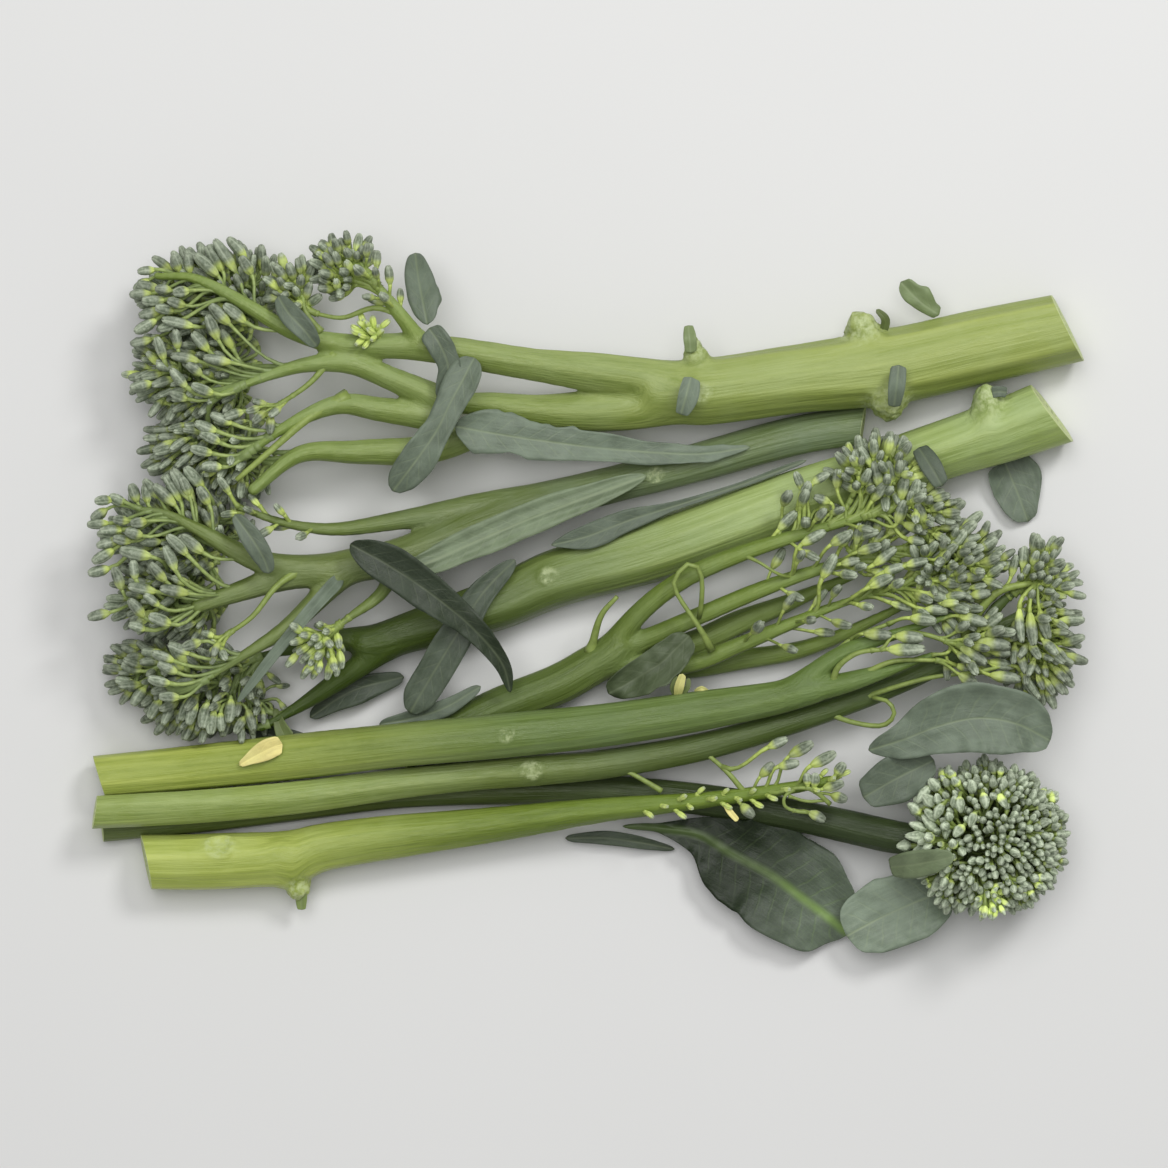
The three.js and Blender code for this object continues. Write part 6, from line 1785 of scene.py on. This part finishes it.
class BROCCOLI_OT_dense_head(bpy.types.Operator):
    """Build the dense head of round buds."""
    bl_idname = "broccoli.dense_head"
    bl_label = "Dense head"

    def execute(self, context):
        form = context.scene.broccoli_buds
        size, width = form.round_length / MM, form.round_width / MM
        centre, radii = np.array((76.1, -45.6, 12.4)), np.array((14.1, 13.7, 10.0))
        buds = Buds(room, limbs_of("stalk_7", "stem"), 81)
        rng = np.random.default_rng(82)
        tufts = 92
        directions = []
        for i in range(tufts):
            height = 1 - 2 * (i + 0.5) / tufts
            flat = math.sqrt(1 - height * height)
            angle = GOLDEN_ANGLE * i
            directions.append(np.array((flat * math.cos(angle), flat * math.sin(angle), height)))
        for direction in directions:
            buds.branch(centre + direction * radii * 0.56, direction / radii, width=1.2)
        buds.hero(HEAD_7_BUDS, width=width * 1.45, tints=(0.87, 0.97))
        buds.cloud((76.2, -56.4, 19), (2.8, 2.2, 1.4), 14, (75, -49, 12), 2.6, 1.3, tint=1.0)
        for i, direction in enumerate(directions):
            root = centre + direction * radii * 0.55
            tuft = centre + direction * radii * rng.uniform(0.94, 1.06)
            normal = unit(direction / radii)
            across = unit(np.cross(normal, (0.3, 0.2, 1)))
            other = np.cross(normal, across)
            fresh = rng.random() < 0.1 + 0.55 * ease(0.1, -0.9, direction[0])
            loose = direction[0] < -0.25 and direction[1] > -0.3 and direction[2] > 0
            for j in range(5 if loose else 40):
                spread = 3.1 * math.sqrt((j + 0.3) / 40)
                turn = GOLDEN_ANGLE * j + i
                offset = across * math.cos(turn) * spread + other * math.sin(turn) * spread
                base = tuft + offset - normal * (0.2 * spread ** 2 + 0.4 * rng.random())
                axis = unit(normal + 0.3 * offset + 0.25 * rng.normal(size=3))
                scale = rng.uniform(0.75, 1.2) * (1.45 if loose else 1.15 if fresh else 1)
                tint = rng.uniform(0.93, 1) if fresh and rng.random() < 0.5 else rng.random() * 0.9
                tint = rng.uniform(0.85, 0.98) if loose else tint
                buds.place(base, axis, size * scale, width * scale, squeeze=0.82,
                           root=(root, normal, 1.0), tint=tint)
        for i, direction in enumerate(directions):
            if direction[2] < -0.1:
                continue
            for _ in range(7):
                lean = unit(direction + 0.2 * rng.normal(size=3))
                base = centre + lean * radii * rng.uniform(0.7, 0.84)
                buds.place(base, unit(lean / radii), size, width, squeeze=0.8,
                           root=(centre + direction * radii * 0.5, direction, 1.0))
        skins = (bud_material("round buds", form, 0.14, 1.42), pedicel_material(
            "round bud stems", linear((96, 112, 60)), linear((140, 158, 84))))
        finish_buds("head_7", buds, skins, ("buds", "stem_mid"), ["head_7"], ROUND_PROFILE,
                    form.pedicel / MM, fine=False)
        return {"FINISHED"}


class BROCCOLI_OT_leaves(bpy.types.Operator):
    """Build the leaves and bracts."""
    bl_idname = "broccoli.leaves"
    bl_label = "Leaves"

    def execute(self, context):
        form = context.scene.broccoli_leaves
        vein = tuple(form.vein)
        for i, leaf in enumerate(LEAVES, 1):
            name = f"leaf_{i:02d}"
            tone, fresh = leaf.get("tone", 0.0), leaf.get("fresh", 0.0)
            field = between(between(form.pale, form.dark, tone), form.fresh, fresh)
            dim = (0.3, 0.38, 0.2) if leaf.get("rib") else (1 - 0.5 * tone,) * 3
            dimmed = tuple(c * share for c, share in zip(vein, dim)) + (1,)
            rib = (1.5, 1.0) if leaf.get("rib") else (0.4, 0.45)
            tip = between(form.pale, form.dark, leaf["tip_tone"]) if "tip_tone" in leaf else None
            skin = leaf_material(name + " skin", field, dimmed, *rib, tip)
            slot = "leaf_dark" if i in DARK_LEAVES else "leaf_pale"
            mesh = leaf_mesh(name + "_blade", leaf, i, form.thickness)
            add_piece(name + "_blade", mesh, [skin], slot, name)
        return {"FINISHED"}


class BROCCOLI_OT_petals(bpy.types.Operator):
    """Build the few petals and bracts that lie among the stalks."""
    bl_idname = "broccoli.petals"
    bl_label = "Petals and bracts"

    def execute(self, context):
        form = context.scene.broccoli_leaves
        skins = {
            "petal": tuple(form.petal), "young petal": between(form.petal, form.fresh, 0.5),
            "bract": shaded(form.fresh, 0.5), "grey": tuple(form.pale)}
        for name, colour in skins.items():
            skins[name] = leaf_material(name + " skin", colour, shaded(colour, 1.2), 0.2)
        for i, (name, skin, stalk, spine) in enumerate(SLIPS):
            leaf = {"spine": spine, "wave": 0.12, "ragged": 0.08, "full": 0.05}
            mesh = leaf_mesh(name, leaf, 40 + i, form.thickness * 0.6)
            add_piece(name, mesh, [skins[skin]], "leaf_pale", stalk)
        return {"FINISHED"}


class BROCCOLI_OT_stage(bpy.types.Operator):
    """Set the surface, the lights and the camera."""
    bl_idname = "broccoli.stage"
    bl_label = "Surface, lights and camera"

    def execute(self, context):
        form = context.scene.broccoli_stage
        scene = context.scene
        half = form.surface / 2
        mesh = bpy.data.meshes.new("surface")
        mesh.from_pydata(
            [(-half, -half, 0), (half, -half, 0), (half, half, 0), (-half, half, 0)], [],
            [(0, 1, 2, 3)])
        surface = bpy.data.objects.new("surface", mesh)
        surface.location.z = -0.0001
        material, w, shader, place = start_material("pale surface", 0.7, 0.3)
        speckle = w.noise(place, 0.02, 2)
        w.feed(shader.inputs["Base Color"],
               w.mix(speckle, SURFACE_COLOUR, shaded(SURFACE_COLOUR, 0.985)))
        mesh.materials.append(material)
        scene.collection.objects.link(surface)

        world = bpy.data.worlds.new("studio")
        world.use_nodes = True
        sky = world.node_tree.nodes["Background"].inputs
        sky["Color"].default_value = (1, 1, 1, 1)
        sky["Strength"].default_value = 0.3
        scene.world = world
        for name, power, size, place in (
                ("overhead light", form.overhead, 0.9, (-0.1, 0.25, 1.1)),
                ("key light", form.key, 0.3, (0.45, 0.55, 0.8))):
            data = bpy.data.lights.new(name, "AREA")
            data.shape = "DISK"
            data.size = size
            data.energy = power
            light = bpy.data.objects.new(name, data)
            light.location = place
            light.rotation_euler = (Vector((0, 0, 0)) - Vector(place)).to_track_quat(
                "-Z", "Y").to_euler()
            scene.collection.objects.link(light)
        data = bpy.data.cameras.new("camera")
        data.lens = form.lens
        data.sensor_width = 36
        data.clip_start = 0.01
        camera = bpy.data.objects.new("camera", data)
        centre = (np.array((-0.4, 3.0, 0)) + LAYOUT_SHIFT) * MM
        camera.location = (centre[0], centre[1], form.camera_height)
        scene.collection.objects.link(camera)
        scene.camera = camera
        scene.view_settings.view_transform = "Standard"
        return {"FINISHED"}


OPERATORS = (
    BROCCOLI_OT_stems, BROCCOLI_OT_leaves, BROCCOLI_OT_petals, BROCCOLI_OT_sprays,
    BROCCOLI_OT_loose_heads, BROCCOLI_OT_dense_head, BROCCOLI_OT_stage)


class BROCCOLI_PT_panel(bpy.types.Panel):
    """Lists the pieces of the bunch in the sidebar."""
    bl_idname = "BROCCOLI_PT_panel"
    bl_label = "Baby broccoli bunch"
    bl_space_type = "VIEW_3D"
    bl_region_type = "UI"
    bl_category = "Broccoli"

    def draw(self, context):
        for operator in OPERATORS:
            self.layout.operator(operator.bl_idname)


SETTINGS = {
    "broccoli_stems": StemSettings, "broccoli_buds": BudSettings,
    "broccoli_leaves": LeafSettings, "broccoli_stage": StageSettings}


def register():
    """Adds the settings, operators and panel to Blender."""
    for name, group in SETTINGS.items():
        bpy.utils.register_class(group)
        setattr(bpy.types.Scene, name, bpy.props.PointerProperty(type=group))
    for cls in (*OPERATORS, BROCCOLI_PT_panel):
        bpy.utils.register_class(cls)


def unregister():
    """Takes them out again."""
    for cls in (BROCCOLI_PT_panel, *reversed(OPERATORS)):
        bpy.utils.unregister_class(cls)
    for name, group in SETTINGS.items():
        delattr(bpy.types.Scene, name)
        bpy.utils.unregister_class(group)


def main():
    """Builds the bunch and its stage."""
    register()
    bpy.ops.broccoli.stems()
    bpy.ops.broccoli.leaves()
    bpy.ops.broccoli.petals()
    bpy.ops.broccoli.sprays()
    bpy.ops.broccoli.loose_heads()
    bpy.ops.broccoli.dense_head()
    bpy.ops.broccoli.stage()


if __name__ == "__main__":
    main()
